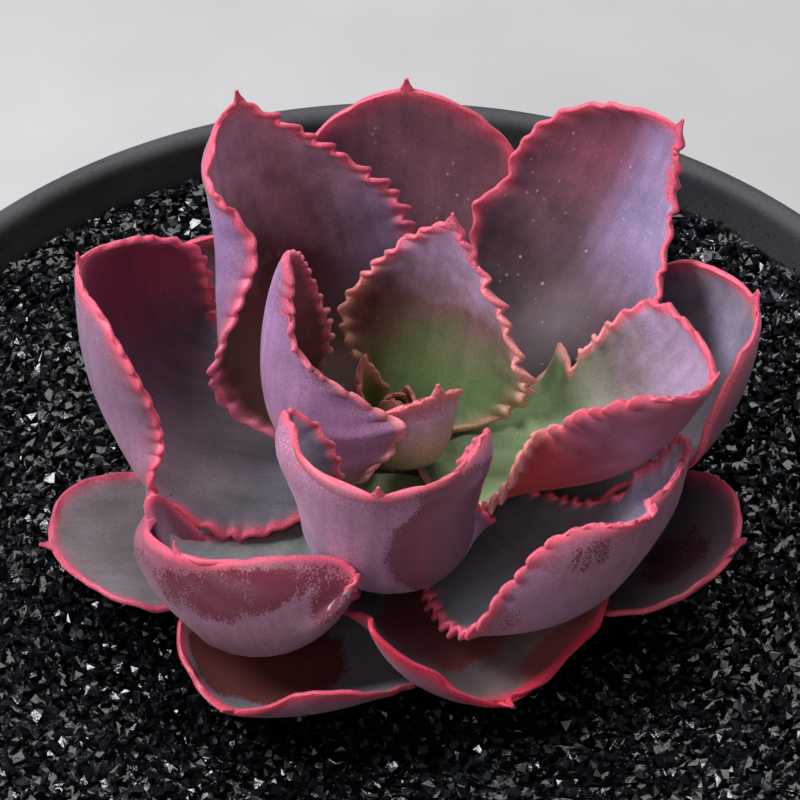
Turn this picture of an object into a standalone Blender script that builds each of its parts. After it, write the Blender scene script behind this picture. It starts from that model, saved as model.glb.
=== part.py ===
# A frilled echeveria: one rosette of broad cupped leaves with waved margins, in black
# angular gravel over soil, in a plain shallow pot.
# The plant's sizes are written in millimetres and turned into metres where a mesh is made.
# The origin is at the centre of the underside of the pot's foot, +Z up, and -Y is the front.

import math

import bmesh
import bpy
import numpy as np

MM = 0.001

# The pot, a shallow bowl on a foot ring
POT_HEIGHT = 85.0
RIM_RADIUS = 128.0
WALL = 6.0
FOOT_RADIUS = 62.0
FOOT_WIDTH = 10.0
FOOT_HEIGHT = 4.0
FLOOR_THICKNESS = 6.0
DRAIN_RADIUS = 7.0
POT_SIDES = 40
POT_RISES = (0.05, 0.18, 0.4, 0.7)
POT_FULLNESS = 0.62
RIM_ROUND = 1.5

# The filling
GAP = 0.35
GRAVEL_TOP = 77.0
GRAVEL_DEPTH = 12.0
GRAVEL_RINGS = (9.5, 14.0, 22.0, 32.0, 43.0, 54.0, 65.0, 76.0, 87.0, 98.0, 108.5)
GRAVEL_HOLLOWS = 2.2
GRAVEL_MOUND = 1.6
ROOT_DEPTH = 26.0
ROOT_TAPER = 0.55

# The rosette: heights of the plant are measured from a level 7 mm above the gravel
ROSETTE_HEIGHT = GRAVEL_TOP + 7.0
GROUND = GRAVEL_TOP - ROSETTE_HEIGHT
GOLDEN_ANGLE = 137.5
FIRST_AZIMUTH = 345.0
LEAF_BASE_RADIUS = 6.5
LEAF_BASE_HEIGHT = 9.5
INTERNODE = 0.95
TAPER_START = 9.0
TAPER = 0.35
STEM_GAP = 0.4
STEM_TOP = 14.6
STEM_SIDES = 20

# A leaf: the flesh thins from the midrib to the margin and from the base to the tip
MIDRIB_THICKNESS = 2.3
MARGIN_THICKNESS = 1.2
CLAW_HALF_WIDTH = 4.4
TIP_LENGTH = 3.0
COARSE_RIPPLE = 2.0
FAINT_RIPPLE = 0.4
FAINT_RIPPLE_LENGTH = 18.0
LOBE_FULL_WIDTH = 12.0

# How the leaves make room for one another
LEAF_CLEARANCE = 0.45
SETTLING_ROUNDS = 160
REACH = 9.0
SIDEWAYS = 1.8
EASE = 0.3
LONGEST_STEP = 1.2
NEIGHBOUR_ANGLE = 110.0

PLAIN_LEAF = dict(
    drift=(0, 0, 0), widest=0.72, belly=0.7, bend=(1, 1), tip_round=((2.8, 0.5), (2.8, 0.5)),
    lip_left=(0, 0, 0, 0, 0), lip_right=(0, 0, 0, 0, 0), lobes=())

# Each leaf, from the youngest at the heart to the oldest at the ground.
# order counts along the spiral and turn adds degrees to the golden angle. path holds the
# three (radius, height) points that the midrib bends towards, after its base, and drift
# moves them sideways. half_widths are the arcs from midrib to margin, left and right.
# cup is how far each half has folded up at its margin, in degrees, at five stations from
# base to tip, and lip is the extra turn of the last third of that arc. widest is the
# station of the greatest width, belly how fast the leaf widens up to it, and tip_round
# how blunt it ends. ripple is the margin's wave: height and length. Each of the lobes is a
# swelling or dent of one margin: side (0 left, 1 right), station, reach, out and up.
LEAVES = (
    dict(order=-4, turn=0, path=((9, 15), (10, 22), (8, 31)), half_widths=(7, 7),
         widest=0.5, ripple=(0.2, 6), tip_round=((1.2, 1), (1.2, 1)),
         cup_left=(40, 80, 90, 60, 20), cup_right=(40, 80, 90, 60, 20)),
    dict(order=-3, turn=8, path=((14, 14), (19, 25), (17, 39)), half_widths=(8, 16),
         ripple=(0.5, 6),
         cup_left=(30, 80, 100, 80, 20), cup_right=(30, 60, 70, 60, 20)),
    dict(order=-2, turn=-10, path=((20, 14), (25, 38), (23.5, 55.5)), half_widths=(23, 25),
         widest=0.48, ripple=(1.5, 7), tip_round=((1.5, 0.8), (1.3, 1.0)),
         cup_left=(20, 50, 50, 40, 10), cup_right=(20, 30, 40, 40, 40),
         lip_left=(0, -10, 0, 0, 0), lip_right=(0, -50, 0, 0, 0), lobes=((1, 0.88, 0.12, -3, 0),)),
    dict(order=-1, turn=-13, path=((30, 8), (32, 38), (23, 68)), half_widths=(34, 25),
         widest=0.5, ripple=(0.9, 7), tip_round=((1.1, 1.3), (2, 0.6)),
         cup_left=(30, 80, 110, 90, 60), cup_right=(30, 80, 100, 80, 60),
         lobes=((0, 0.78, 0.13, -5, 0),)),
    dict(order=0, turn=-3, path=((40, 8), (58, 16), (68, 49)), half_widths=(31, 31),
         widest=0.76, bend=(1, 0.8), ripple=(1.3, 6),
         cup_left=(20, 40, 75, 75, 60), cup_right=(20, 30, 100, 108, 85),
         lip_left=(0, -30, 0, 0, 0), lip_right=(0, -60, 0, 0, 0),
         lobes=((0, 0.3, 0.045, 8, 0), (0, 0.38, 0.03, -2, 0), (1, 0.7, 0.2, -2, 0))),
    dict(order=1, turn=5, path=((34, 12), (50, 36), (55, 69)), half_widths=(35, 31),
         widest=0.6, belly=0.55, ripple=(0.9, 8), tip_round=((2.8, 0.5), (1.4, 0.9)),
         cup_left=(20, 45, 60, 100, 70), cup_right=(20, 35, 55, 65, 60),
         lip_left=(0, -60, 40, 30, -10), lip_right=(0, -20, 0, 0, 0), lobes=((0, 0.93, 0.05, 3, -3),)),
    dict(order=2, turn=6, path=((50, 1), (49, 12), (52, 47.5)), half_widths=(37, 37),
         widest=0.88, belly=0.6, bend=(0.9, 0.9), ripple=(0.6, 7), tip_round=((3, 0.5), (3, 0.5)),
         cup_left=(20, 75, 95, 95, 80), cup_right=(20, 70, 90, 95, 80),
         lip_left=(0, 0, 30, 50, 10), lip_right=(0, 0, 60, 90, 10),
         lobes=((1, 0.9, 0.1, 1, -3), (0, 0.98, 0.02, -4, 0))),
    dict(order=3, turn=-3, path=((38, 10), (62, 26), (71, 65)), half_widths=(32, 31),
         drift=(2, 6, -1), widest=0.62, belly=0.6, ripple=(0.5, 7), tip_round=((2.6, 0.5), (1.1, 1.1)),
         cup_left=(20, 40, 60, 60, 50), cup_right=(20, 35, 50, 55, 50),
         lip_left=(0, -15, 0, 0, 0), lip_right=(0, -15, 0, 0, 0),
         lobes=((0, 0.54, 0.05, 2, 0), (0, 0.63, 0.05, -2, 0), (0, 0.36, 0.12, -4, 0),
                (1, 0.9, 0.12, -6, 0), (1, 0.58, 0.1, 3, 0))),
    dict(order=4, turn=-3, path=((62, -2), (69, 2), (67, 54)), half_widths=(36, 34),
         widest=0.78, belly=0.5, ripple=(0.4, 7), tip_round=((2.4, 0.5), (2.2, 0.7)),
         cup_left=(20, 0, 40, 90, 70), cup_right=(20, 35, 80, 95, 60),
         lip_left=(0, -20, 0, 10, 0), lip_right=(0, -40, -20, 0, 0),
         lobes=((0, 0.8, 0.2, -5, 0), (1, 0.88, 0.06, 2, 0))),
    dict(order=5, turn=2, path=((54, -4), (73, 0), (71.5, 36)), half_widths=(33, 31),
         drift=(-6, -6, 3), widest=0.76, belly=1.1, bend=(1, 0.9), ripple=(0.4, 7),
         cup_left=(20, 30, 60, 30, 10), cup_right=(20, 10, 35, 65, 75),
         lip_left=(0, -10, 0, 20, 0), lip_right=(0, -10, -10, 0, 0),
         lobes=((0, 0.45, 0.15, -5, 0), (0, 0.9, 0.12, 5, 0), (1, 0.85, 0.15, -5, 0))),
    dict(order=6, turn=-2, path=((36, 6), (56, 32), (57, 61.5)), half_widths=(26, 26),
         ripple=(0.25, 9), tip_round=((1.8, 0.6), (1.8, 0.6)),
         cup_left=(20, 30, 40, 30, 10), cup_right=(20, 15, 10, 5, 5)),
    dict(order=7, turn=1, path=((54, -6), (74, -5), (66, 28)), half_widths=(43, 42),
         drift=(8, 12, -1), widest=0.82, belly=1.8, bend=(0.7, 1), ripple=(0.3, 9),
         tip_round=((2, 0.9), (4, 0.5)),
         cup_left=(20, 45, 75, 90, 70), cup_right=(20, 20, 50, 64, 70),
         lobes=((0, 0.8, 0.08, -8, 0), (0, 0.92, 0.02, 1.5, 0), (0, 0.985, 0.02, -6, 0))),
    dict(order=8, turn=3, path=((35, 2), (66, 10), (75, 43)), half_widths=(27, 30),
         ripple=(0.2, 9),
         cup_left=(20, 30, 50, 60, 50), cup_right=(20, 30, 60, 80, 60)),
    dict(order=9, turn=2, path=((35, 2), (58, 8), (64, 30)), half_widths=(28, 28),
         ripple=(0.2, 9),
         cup_left=(15, 15, 30, 40, 20), cup_right=(15, 25, 40, 40, 20)),
    dict(order=10, turn=5, path=((30, -4), (60, -7), (70.5, 2)), half_widths=(35, 29),
         drift=(0, 0, 4), widest=0.76, belly=1, ripple=(0.15, 9),
         cup_left=(10, 0, 20, 45, 50), cup_right=(10, 10, 50, 90, 70), lobes=((0, 0.88, 0.12, -7, -3), (1, 0.8, 0.12, 2, -4))),
    dict(order=11, turn=0, path=((30, -3), (55, -2), (78, 6)), half_widths=(27, 27),
         ripple=(0.15, 9),
         cup_left=(10, 20, 40, 40, 20), cup_right=(10, 20, 40, 40, 20)),
    dict(order=12, turn=3, path=((30, -6), (55, -6), (76, 4)), half_widths=(28, 18),
         ripple=(0.15, 9),
         cup_left=(10, 5, 20, 35, 30), cup_right=(10, 20, 30, 30, 20)),
    dict(order=13, turn=5, path=((30, -5), (55, -5), (75.5, 12)), half_widths=(21, 27.5),
         ripple=(0.15, 9),
         cup_left=(10, 20, 40, 40, 20), cup_right=(10, 15, 40, 50, 30)),
    dict(order=14, turn=0, path=((30, -6), (55, -5), (78, 2)), half_widths=(26, 26),
         ripple=(0.15, 9),
         cup_left=(10, 20, 40, 40, 20), cup_right=(10, 20, 40, 40, 20)),
    dict(order=15, turn=6, path=((34, -6), (60, -7), (73, 2)), half_widths=(31, 26.5),
         drift=(0, -6, -13), ripple=(0.15, 9),
         cup_left=(10, 10, 15, 45, 60), cup_right=(10, 20, 50, 60, 40), lobes=((0, 0.7, 0.15, -4, 0),)),
)

# The heart: a bud with its three smallest leaves, on top of the stem
BUD_PROFILE = ((2.9, 0.0), (3.2, 2.2), (2.5, 5.2), (1.2, 7.8))
BUD_SIDES = 12
HEART_LEAVES = (
    dict(order=-5, turn=0, base=(1.4, 16.0), path=((4.5, 18), (4.6, 21), (3.0, 25.5)),
         half_widths=(3.6, 3.6), ripple=(0, 6), cup_left=(60, 80, 80, 60, 30), cup_right=(60, 80, 80, 60, 30)),
    dict(order=-6, turn=0, base=(1.2, 17.0), path=((3.6, 19), (3.6, 22), (1.9, 25)),
         half_widths=(2.8, 2.8), ripple=(0, 6), cup_left=(60, 80, 80, 60, 30), cup_right=(60, 80, 80, 60, 30)),
    dict(order=-7, turn=0, base=(1.0, 18.0), path=((2.8, 20), (2.6, 22.5), (1.2, 24.5)),
         half_widths=(2.2, 2.2), ripple=(0, 6), cup_left=(60, 80, 80, 60, 30), cup_right=(60, 80, 80, 60, 30)),
)
HEART_CLAW = 1.3
HEART_TIP = 0.8
HEART_THICKNESS = 1.0

# Colours of the finishes, as linear values
STONEWARE = (0.045, 0.045, 0.048)
BARK = (0.20, 0.14, 0.09)
EARTH = (0.035, 0.022, 0.014)
STONE = (0.012, 0.012, 0.014)
YOUNG_LEAF = (0.30, 0.28, 0.22)
OLD_LEAF = (0.36, 0.20, 0.27)
HEART_GREEN = (0.22, 0.30, 0.16)


def clear_scene():
    for item in list(bpy.data.objects):
        bpy.data.objects.remove(item, do_unlink=True)


def finish(name, colour, roughness):
    material = bpy.data.materials.new(name)
    material.use_nodes = True
    shader = material.node_tree.nodes["Principled BSDF"]
    shader.inputs["Base Color"].default_value = (*colour, 1)
    shader.inputs["Roughness"].default_value = roughness
    shader.inputs["Metallic"].default_value = 0
    return material


def add_object(name, points, faces, material, height=0.0, sharp=40):
    mesh = bpy.data.meshes.new(name)
    metres = [(x * MM, y * MM, (z + height) * MM) for x, y, z in points]
    mesh.from_pydata(metres, [], faces)
    shape = bmesh.new()
    shape.from_mesh(mesh)
    bmesh.ops.recalc_face_normals(shape, faces=shape.faces)
    shape.to_mesh(mesh)
    shape.free()
    mesh.shade_smooth()
    mesh.set_sharp_from_angle(angle=math.radians(sharp))
    mesh.materials.append(material)
    body = bpy.data.objects.new(name, mesh)
    bpy.context.scene.collection.objects.link(body)
    return body


# A closed outline of (radius, height) points turned round the Z axis; a point at radius 0
# becomes a pole
def turned(name, outline, sides, material, height=0.0):
    points = []
    rings = []
    for radius, level in outline:
        if radius == 0:
            rings.append([len(points)] * sides)
            points.append((0, 0, level))
            continue
        rings.append([len(points) + k for k in range(sides)])
        for k in range(sides):
            angle = 2 * math.pi * k / sides
            points.append((radius * math.cos(angle), radius * math.sin(angle), level))
    faces = []
    for ring, following in zip(rings, rings[1:] + rings[:1]):
        for k in range(sides):
            near = (k + 1) % sides
            corners = (ring[k], ring[near], following[near], following[k])
            corners = tuple(dict.fromkeys(corners))
            if len(corners) > 2:
                faces.append(corners)
    return add_object(name, points, faces, material, height)


# Corners of the pot's inner side, from the edge of its floor to below the rim: a rounded curve
def inner_corners():
    floor = FOOT_HEIGHT + FLOOR_THICKNESS
    floor_radius = FOOT_RADIUS - WALL
    reach = RIM_RADIUS - WALL - floor_radius
    corners = [(floor_radius, floor)]
    for rise in POT_RISES:
        level = floor + rise * (POT_HEIGHT - floor)
        corners.append((floor_radius + reach * math.sin(rise * math.pi / 2)**POT_FULLNESS, level))
    return corners + [(RIM_RADIUS - WALL, POT_HEIGHT - RIM_ROUND)]


# The pot's inner radius at any level, along the straight stretches between those corners
def inner_radius(level):
    corners = inner_corners()
    return float(np.interp(level, [z for r, z in corners], [r for r, z in corners]))


def make_pot():
    floor = FOOT_HEIGHT + FLOOR_THICKNESS
    heel = FOOT_RADIUS - FOOT_WIDTH
    inner = inner_corners()
    outer = [(r + WALL * 0.75, z - WALL * 0.7) for r, z in inner[2:-1]]
    outline = [(DRAIN_RADIUS, floor)] + inner + [(RIM_RADIUS - WALL + RIM_ROUND, POT_HEIGHT)]
    outline += [(RIM_RADIUS - RIM_ROUND, POT_HEIGHT), (RIM_RADIUS, POT_HEIGHT - RIM_ROUND)]
    outline += outer[::-1] + [(FOOT_RADIUS, FOOT_HEIGHT + 2), (FOOT_RADIUS, 0), (heel, 0)]
    outline += [(heel, FOOT_HEIGHT), (DRAIN_RADIUS, FOOT_HEIGHT)]
    turned("pot", outline, POT_SIDES, finish("stoneware", STONEWARE, 0.55))


# Radius of the stem at a height of the rosette: the leaf bases follow it a little outside
def base_radius(height):
    return LEAF_BASE_RADIUS - TAPER * max(0.0, height - TAPER_START)


def root_radius():
    return LEAF_BASE_RADIUS - STEM_GAP


def make_soil():
    top = GRAVEL_TOP - GRAVEL_DEPTH - GAP
    side_gap = 2 * GAP
    corners = [(r - side_gap, z) for r, z in inner_corners() if z < top]
    corners[0] = (corners[0][0], corners[0][1] + GAP)
    hole = root_radius() + GAP
    outline = [(0, corners[0][1])] + corners + [(inner_radius(top) - side_gap, top), (hole, top)]
    outline += [(hole * ROOT_TAPER + GAP, top - ROOT_DEPTH - GAP), (0, top - ROOT_DEPTH - GAP)]
    turned("soil", outline, POT_SIDES, finish("potting_soil", EARTH, 0.95))


# Loose stones as a broken relief: low under the rosette, a little mounded towards the rim
def make_gravel():
    draw = np.random.default_rng(11)
    bottom = GRAVEL_TOP - GRAVEL_DEPTH
    edge = inner_radius(GRAVEL_TOP - GRAVEL_HOLLOWS) - 2 * GAP
    radii = (root_radius() + GAP,) + GRAVEL_RINGS + (edge,)
    points = []
    for ring, radius in enumerate(radii):
        for k in range(POT_SIDES):
            step = 2 * math.pi / POT_SIDES
            inside = 0 < ring < len(radii) - 1
            angle = (k + (draw.uniform(-0.3, 0.3) if inside and ring > 1 else 0)) * step
            reach = radius + (draw.uniform(-2.5, 2.5) if inside and ring > 1 else 0)
            mound = GRAVEL_MOUND * min(1.0, max(0.0, (radius - 80) / 20))
            level = GRAVEL_TOP + mound - draw.uniform(0.2, GRAVEL_HOLLOWS)
            points.append((reach * math.cos(angle), reach * math.sin(angle), level))
    base_edge = inner_radius(bottom) - 2 * GAP
    for radius in (base_edge, radii[0]):
        for k in range(POT_SIDES):
            angle = 2 * math.pi * k / POT_SIDES
            points.append((radius * math.cos(angle), radius * math.sin(angle), bottom))
    loops = len(radii) + 2
    faces = []
    for ring in range(loops):
        here, there = ring * POT_SIDES, (ring + 1) % loops * POT_SIDES
        for k in range(POT_SIDES):
            near = (k + 1) % POT_SIDES
            a, b, c, d = here + k, here + near, there + near, there + k
            if ring < len(radii) and (k + ring) % 2:
                faces += [(a, b, d), (b, c, d)]
            else:
                faces += [(a, b, c), (a, c, d)]
    add_object("gravel", points, faces, finish("black_gravel", STONE, 0.2), sharp=10)


def make_stem():
    top = GRAVEL_TOP - GRAVEL_DEPTH - GAP - ROSETTE_HEIGHT
    low = top - ROOT_DEPTH
    outline = [(0, STEM_TOP), (base_radius(STEM_TOP) - STEM_GAP, STEM_TOP)]
    outline += [(root_radius(), TAPER_START), (root_radius(), top)]
    outline += [(root_radius() * ROOT_TAPER, low), (0, low)]
    turned("stem", outline, STEM_SIDES, finish("corky_stem", BARK, 0.8), ROSETTE_HEIGHT)


# Values at evenly spaced stations, read in between as a smooth curve
def smooth_values(values, s):
    v = np.asarray(values, float)
    x = np.clip(s, 0, 1) * (len(v) - 1)
    i = np.minimum(x.astype(int), len(v) - 2)
    t = x - i
    slope = np.gradient(v)
    return ((2 * t**3 - 3 * t**2 + 1) * v[i] + (t**3 - 2 * t**2 + t) * slope[i]
            + (-2 * t**3 + 3 * t**2) * v[i + 1] + (t**3 - t**2) * slope[i + 1])


# The midrib as a dense line: a cubic curve from the stem, then the straight pointed tip
def midrib(leaf, tip_length):
    azimuth = math.radians(FIRST_AZIMUTH + GOLDEN_ANGLE * leaf["order"] + leaf["turn"])
    out = np.array([math.cos(azimuth), math.sin(azimuth), 0])
    across = np.array([-math.sin(azimuth), math.cos(azimuth), 0])
    base_height = LEAF_BASE_HEIGHT - INTERNODE * leaf["order"]
    base = leaf.get("base", (base_radius(base_height), base_height))
    pulls = np.array([base, *leaf["path"]], float)
    t = np.linspace(0, 1, 200)
    weights = np.stack([(1 - t)**3, 3 * t * (1 - t)**2, 3 * t * t * (1 - t), t**3], 1)
    place = weights @ pulls
    side = weights @ np.array((0, *leaf["drift"]), float)
    line = place[:, :1] * out + side[:, None] * across + place[:, 1:] * np.array([0, 0, 1.0])
    ahead = line[-1] - line[-2]
    ahead /= np.linalg.norm(ahead)
    tip = line[-1] + ahead * np.linspace(0, tip_length, 12)[1:, None]
    return np.vstack([line, tip]), across


# A leaf's middle surface: rows of points across it, from the right margin over the midrib
# to the left one
def leaf_sheet(leaf, rows, columns, claw=CLAW_HALF_WIDTH, tip_length=TIP_LENGTH):
    line, across = midrib(leaf, tip_length)
    run = np.concatenate([[0], np.cumsum(np.linalg.norm(np.diff(line, axis=0), axis=1))])
    body, total = run[199], run[-1]
    widest = leaf["widest"]
    q = np.linspace(0, 1, rows - 3)
    beyond = widest + (1 - widest) * np.sin((q - widest) / (1 - widest) * math.pi / 2)
    ell = np.concatenate([np.where(q < widest, q, beyond) * body, body + tip_length * np.array([0.3, 0.65, 1.0])])
    s = np.clip(ell / body, 0, 1)
    rib = np.stack([np.interp(ell, run, line[:, k]) for k in range(3)], 1)
    ahead = np.gradient(rib, ell, axis=0)
    ahead /= np.linalg.norm(ahead, axis=1)[:, None]
    up = np.cross(ahead, across)
    up /= np.linalg.norm(up, axis=1)[:, None]
    left = np.cross(up, ahead)
    grow = np.sin(np.clip(s / widest, 0, 1) * math.pi / 2)**leaf["belly"]
    spike = 0.4 + 1.5 * (1 - np.clip((ell - body + 1.5) / (tip_length + 1.5), 0, 1))**1.6
    near_tip = np.clip((total - ell) / 5, 0, 1)
    height, length = leaf["ripple"]
    length = length * COARSE_RIPPLE if height >= FAINT_RIPPLE else FAINT_RIPPLE_LENGTH
    fine = 12
    v = np.linspace(0, 1, columns * fine + 1)
    halves = []
    for k, sign, side in ((0, 1, "left"), (1, -1, "right")):
        early, late = leaf["tip_round"][k]
        fall = (1 - np.clip((s - widest) / (1 - widest), 0, 1)**early)**late
        half_width = leaf["half_widths"][k]
        width = np.where(s < widest, claw + (half_width - claw) * grow, half_width * fall)
        width = (width**4 + spike**4)**0.25
        cup = np.radians(smooth_values(leaf["cup_" + side], s)) * near_tip
        lip = np.radians(smooth_values(leaf["lip_" + side], s)) * near_tip
        turn = cup[:, None] * v**leaf["bend"][k] + lip[:, None] * v**3.5
        middle = (turn[:, 1:] + turn[:, :-1]) / 2
        step = width[:, None] / (columns * fine)
        start = np.zeros((len(s), 1))
        y = (np.hstack([start, np.cumsum(np.cos(middle), 1)]) * step)[:, ::fine]
        z = (np.hstack([start, np.cumsum(np.sin(middle), 1)]) * step)[:, ::fine]
        turn = turn[:, ::fine]
        sheet = rib[:, None] + sign * y[..., None] * left[:, None] + z[..., None] * up[:, None]
        face_up = -sign * np.sin(turn)[..., None] * left[:, None] + np.cos(turn)[..., None] * up[:, None]
        outward = sign * np.cos(turn)[..., None] * left[:, None] + np.sin(turn)[..., None] * up[:, None]
        edge = np.concatenate([[0], np.cumsum(np.linalg.norm(np.diff(sheet[:, -1], axis=0), axis=1))])
        phase = 2 * math.pi * edge / length + 1.7 * k + leaf["order"]
        fade = np.clip((total - ell - 3) / 6, 0, 1) * np.clip((s - 0.15) / 0.25, 0, 1)
        rise = np.clip((np.linspace(0, 1, columns + 1) - 0.5) / 0.5, 0, 1)**1.6
        wave = height * fade * np.sin(phase + 0.9 * np.sin(phase * 0.21))
        swell = 0.35 * height * fade * np.cos(2 * phase)
        sheet = sheet + wave[:, None, None] * rise[:, None] * face_up + swell[:, None, None] * rise[:, None] * outward
        for lobe_side, at, reach, out, lift in leaf["lobes"]:
            if lobe_side == k:
                bump = np.exp(-((s - at) / reach)**2) * np.clip(width / LOBE_FULL_WIDTH, 0, 1)
                bump = bump[:, None, None] * np.linspace(0, 1, columns + 1)[:, None]**3
                sheet = sheet + bump * (out * outward + lift * face_up)
        halves.append(sheet)
    return np.concatenate([halves[1][:, ::-1], halves[0][:, 1:]], 1), s, ell / total


def sheet_normals(sheet):
    normal = np.cross(np.gradient(sheet, axis=0), np.gradient(sheet, axis=1))
    return normal / (np.linalg.norm(normal, axis=2, keepdims=True) + 1e-9)


def half_thickness(sheet, s, run, midrib_thickness=MIDRIB_THICKNESS, margin_thickness=MARGIN_THICKNESS):
    v = np.abs(np.linspace(-1, 1, sheet.shape[1]))
    flesh = midrib_thickness * (1 - 0.35 * s)[:, None]
    thickness = flesh * (1 - v**2) + margin_thickness * v**2
    return 0.5 * thickness * np.clip((1 - run) * 22, 0.35, 1)[:, None]


# The same sheet with a point added halfway between every two
def denser(sheet):
    rows = np.repeat(sheet, 2, 0)[:-1].copy()
    rows[1::2] = (sheet[:-1] + sheet[1:]) / 2
    both = np.repeat(rows, 2, 1)[:, :-1].copy()
    both[:, 1::2] = (rows[:, :-1] + rows[:, 1:]) / 2
    return both


# Each point's value mixed with its four neighbours'
def calmed(field):
    wide = np.pad(field, ((1, 1), (1, 1), (0, 0)), mode="edge")
    return 0.4 * field + 0.15 * (wide[:-2, 1:-1] + wide[2:, 1:-1] + wide[1:-1, :-2] + wide[1:-1, 2:])


def angle_between(one, other):
    angle = (GOLDEN_ANGLE * (one["order"] - other["order"]) + one["turn"] - other["turn"]) % 360
    return min(angle, 360 - angle)


# Adds moves found at points of the denser sheet to the push of the sheet's own points
def add_moves(push, points, columns, moves):
    row = np.minimum((points // columns + 1) // 2, push.shape[0] - 1)
    column = np.minimum((points % columns + 1) // 2, push.shape[1] - 1)
    np.add.at(push, (row, column), moves)


# Pushes leaves a and b apart where b's points come too near a's sheet; side is 1 where b
# lies below. With careful set, the points halfway between b's own are tested too.
def push_apart(a, b, side, careful):
    own = (b["dense"] if careful else b["now"]).reshape(-1, 3)
    own_half = (b["dense_half"] if careful else b["half"]).reshape(-1)
    other, other_half = a["dense"].reshape(-1, 3), a["dense_half"].reshape(-1)
    low = np.maximum(own.min(0), other.min(0)) - 4
    high = np.minimum(own.max(0), other.max(0)) + 4
    near = np.nonzero(np.all((own > low) & (own < high), 1))[0]
    far = np.nonzero(np.all((other > low) & (other < high), 1))[0]
    if not len(near) or not len(far):
        return 0
    squares = (own[near]**2).sum(1)[:, None] + (other[far]**2).sum(1) - 2 * own[near] @ other[far].T
    hit = far[np.argmin(squares, 1)]
    between = own[near] - other[hit]
    normal = a["dense_normal"].reshape(-1, 3)[hit]
    offset = (between * normal).sum(1)
    sideways = np.sqrt(np.maximum((between**2).sum(1) - offset**2, 0))
    wanted = own_half[near] + other_half[hit] + LEAF_CLEARANCE
    gap = -side * offset
    close = (gap < wanted) & (gap > -REACH) & (sideways < SIDEWAYS)
    move = EASE * -side * normal[close] * (wanted - gap)[close][:, None]
    columns = a["dense"].shape[1]
    if careful:
        add_moves(b["push"], near[close], b["dense"].shape[1], move)
    else:
        np.add.at(b["push"].reshape(-1, 3), near[close], move)
    add_moves(a["push"], hit[close], columns, -move)
    return int(close.sum())


# The leaves, laid out by the spiral alone, would cross. Over many small steps each pair is
# eased apart, the younger one above, and no leaf goes into the ground.
def settle(leaves):
    pairs = [(a, b) for k, a in enumerate(leaves) for b in leaves[k + 1:]
             if angle_between(a["leaf"], b["leaf"]) < NEIGHBOUR_ANGLE]
    for item in leaves:
        item["shift"] = np.zeros_like(item["sheet"])
        item["half"] = half_thickness(item["sheet"], item["s"], item["run"])
        item["dense_half"] = denser(item["half"][..., None])[..., 0]
        item["hold"] = np.clip((item["s"] - 0.03) / 0.08, 0, 1)[:, None, None]
    for count in range(SETTLING_ROUNDS):
        for item in leaves:
            item["now"] = item["sheet"] + item["shift"]
            item["push"] = np.zeros_like(item["now"])
            item["dense"] = denser(item["now"])
            item["dense_normal"] = sheet_normals(item["dense"])
        early, late = count < SETTLING_ROUNDS * 0.6, count >= SETTLING_ROUNDS * 0.8
        found = 0
        for upper, lower in pairs:
            found += push_apart(upper, lower, 1, late)
            found += push_apart(lower, upper, -1, late)
        for item in leaves:
            push = item["push"]
            low = GROUND + 0.4 + item["half"] - item["now"][..., 2]
            push[..., 2] += 0.5 * np.maximum(low, 0)
            size = np.linalg.norm(push, axis=2, keepdims=True)
            push *= np.minimum(1, LONGEST_STEP / np.maximum(size, 1e-9))
            if count % 2 or not late:
                push = calmed(push) * 1.6
            shift = item["shift"] + push * item["hold"]
            if early:
                shift = calmed(shift) * item["hold"]
            item["shift"] = np.round(shift, 4)
        if not found:
            break


# Both faces of a leaf and the strip round its margin, with the same split on either face
def leaf_surface(sheet, half):
    offset = sheet_normals(sheet) * half[..., None]
    rows, columns = sheet.shape[:2]
    points = np.vstack([(sheet + offset).reshape(-1, 3), (sheet - offset).reshape(-1, 3)])
    under = rows * columns
    faces = []
    for i in range(rows - 1):
        for j in range(columns - 1):
            a = i * columns + j
            b, c, d = a + 1, a + columns + 1, a + columns
            pair = ((a, b, c), (a, c, d)) if j < columns // 2 else ((a, b, d), (b, c, d))
            faces += pair
            faces += [tuple(k + under for k in reversed(face)) for face in pair]
    edge = list(range(columns))
    edge += [i * columns + columns - 1 for i in range(1, rows)]
    edge += [(rows - 1) * columns + j for j in range(columns - 2, -1, -1)]
    edge += [i * columns for i in range(rows - 2, 0, -1)]
    for a, b in zip(edge, edge[1:] + edge[:1]):
        faces += [(b, a, a + under), (b, a + under, b + under)]
    return points, faces


# Deeply cupped upper leaves take the most rows and columns, flat low ones the fewest
def grid_size(leaf):
    strong = max(leaf["cup_left"] + leaf["cup_right"]) >= 80
    if strong and leaf["order"] <= 8:
        return 24, 4
    return (20, 3) if leaf["order"] <= 10 else (16, 3)


def make_leaves():
    leaves = []
    for values in LEAVES:
        leaf = {**PLAIN_LEAF, **values}
        sheet, s, run = leaf_sheet(leaf, *grid_size(leaf))
        leaves.append(dict(leaf=leaf, sheet=sheet, s=s, run=run))
    settle(leaves)
    for number, item in enumerate(leaves, 1):
        age = (number - 1) / (len(leaves) - 1)
        colour = [a + (b - a) * age for a, b in zip(YOUNG_LEAF, OLD_LEAF)]
        name = "leaf_%02d" % number
        points, faces = leaf_surface(item["sheet"] + item["shift"], item["half"])
        add_object(name, points, faces, finish(name, colour, 0.6), ROSETTE_HEIGHT)


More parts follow.
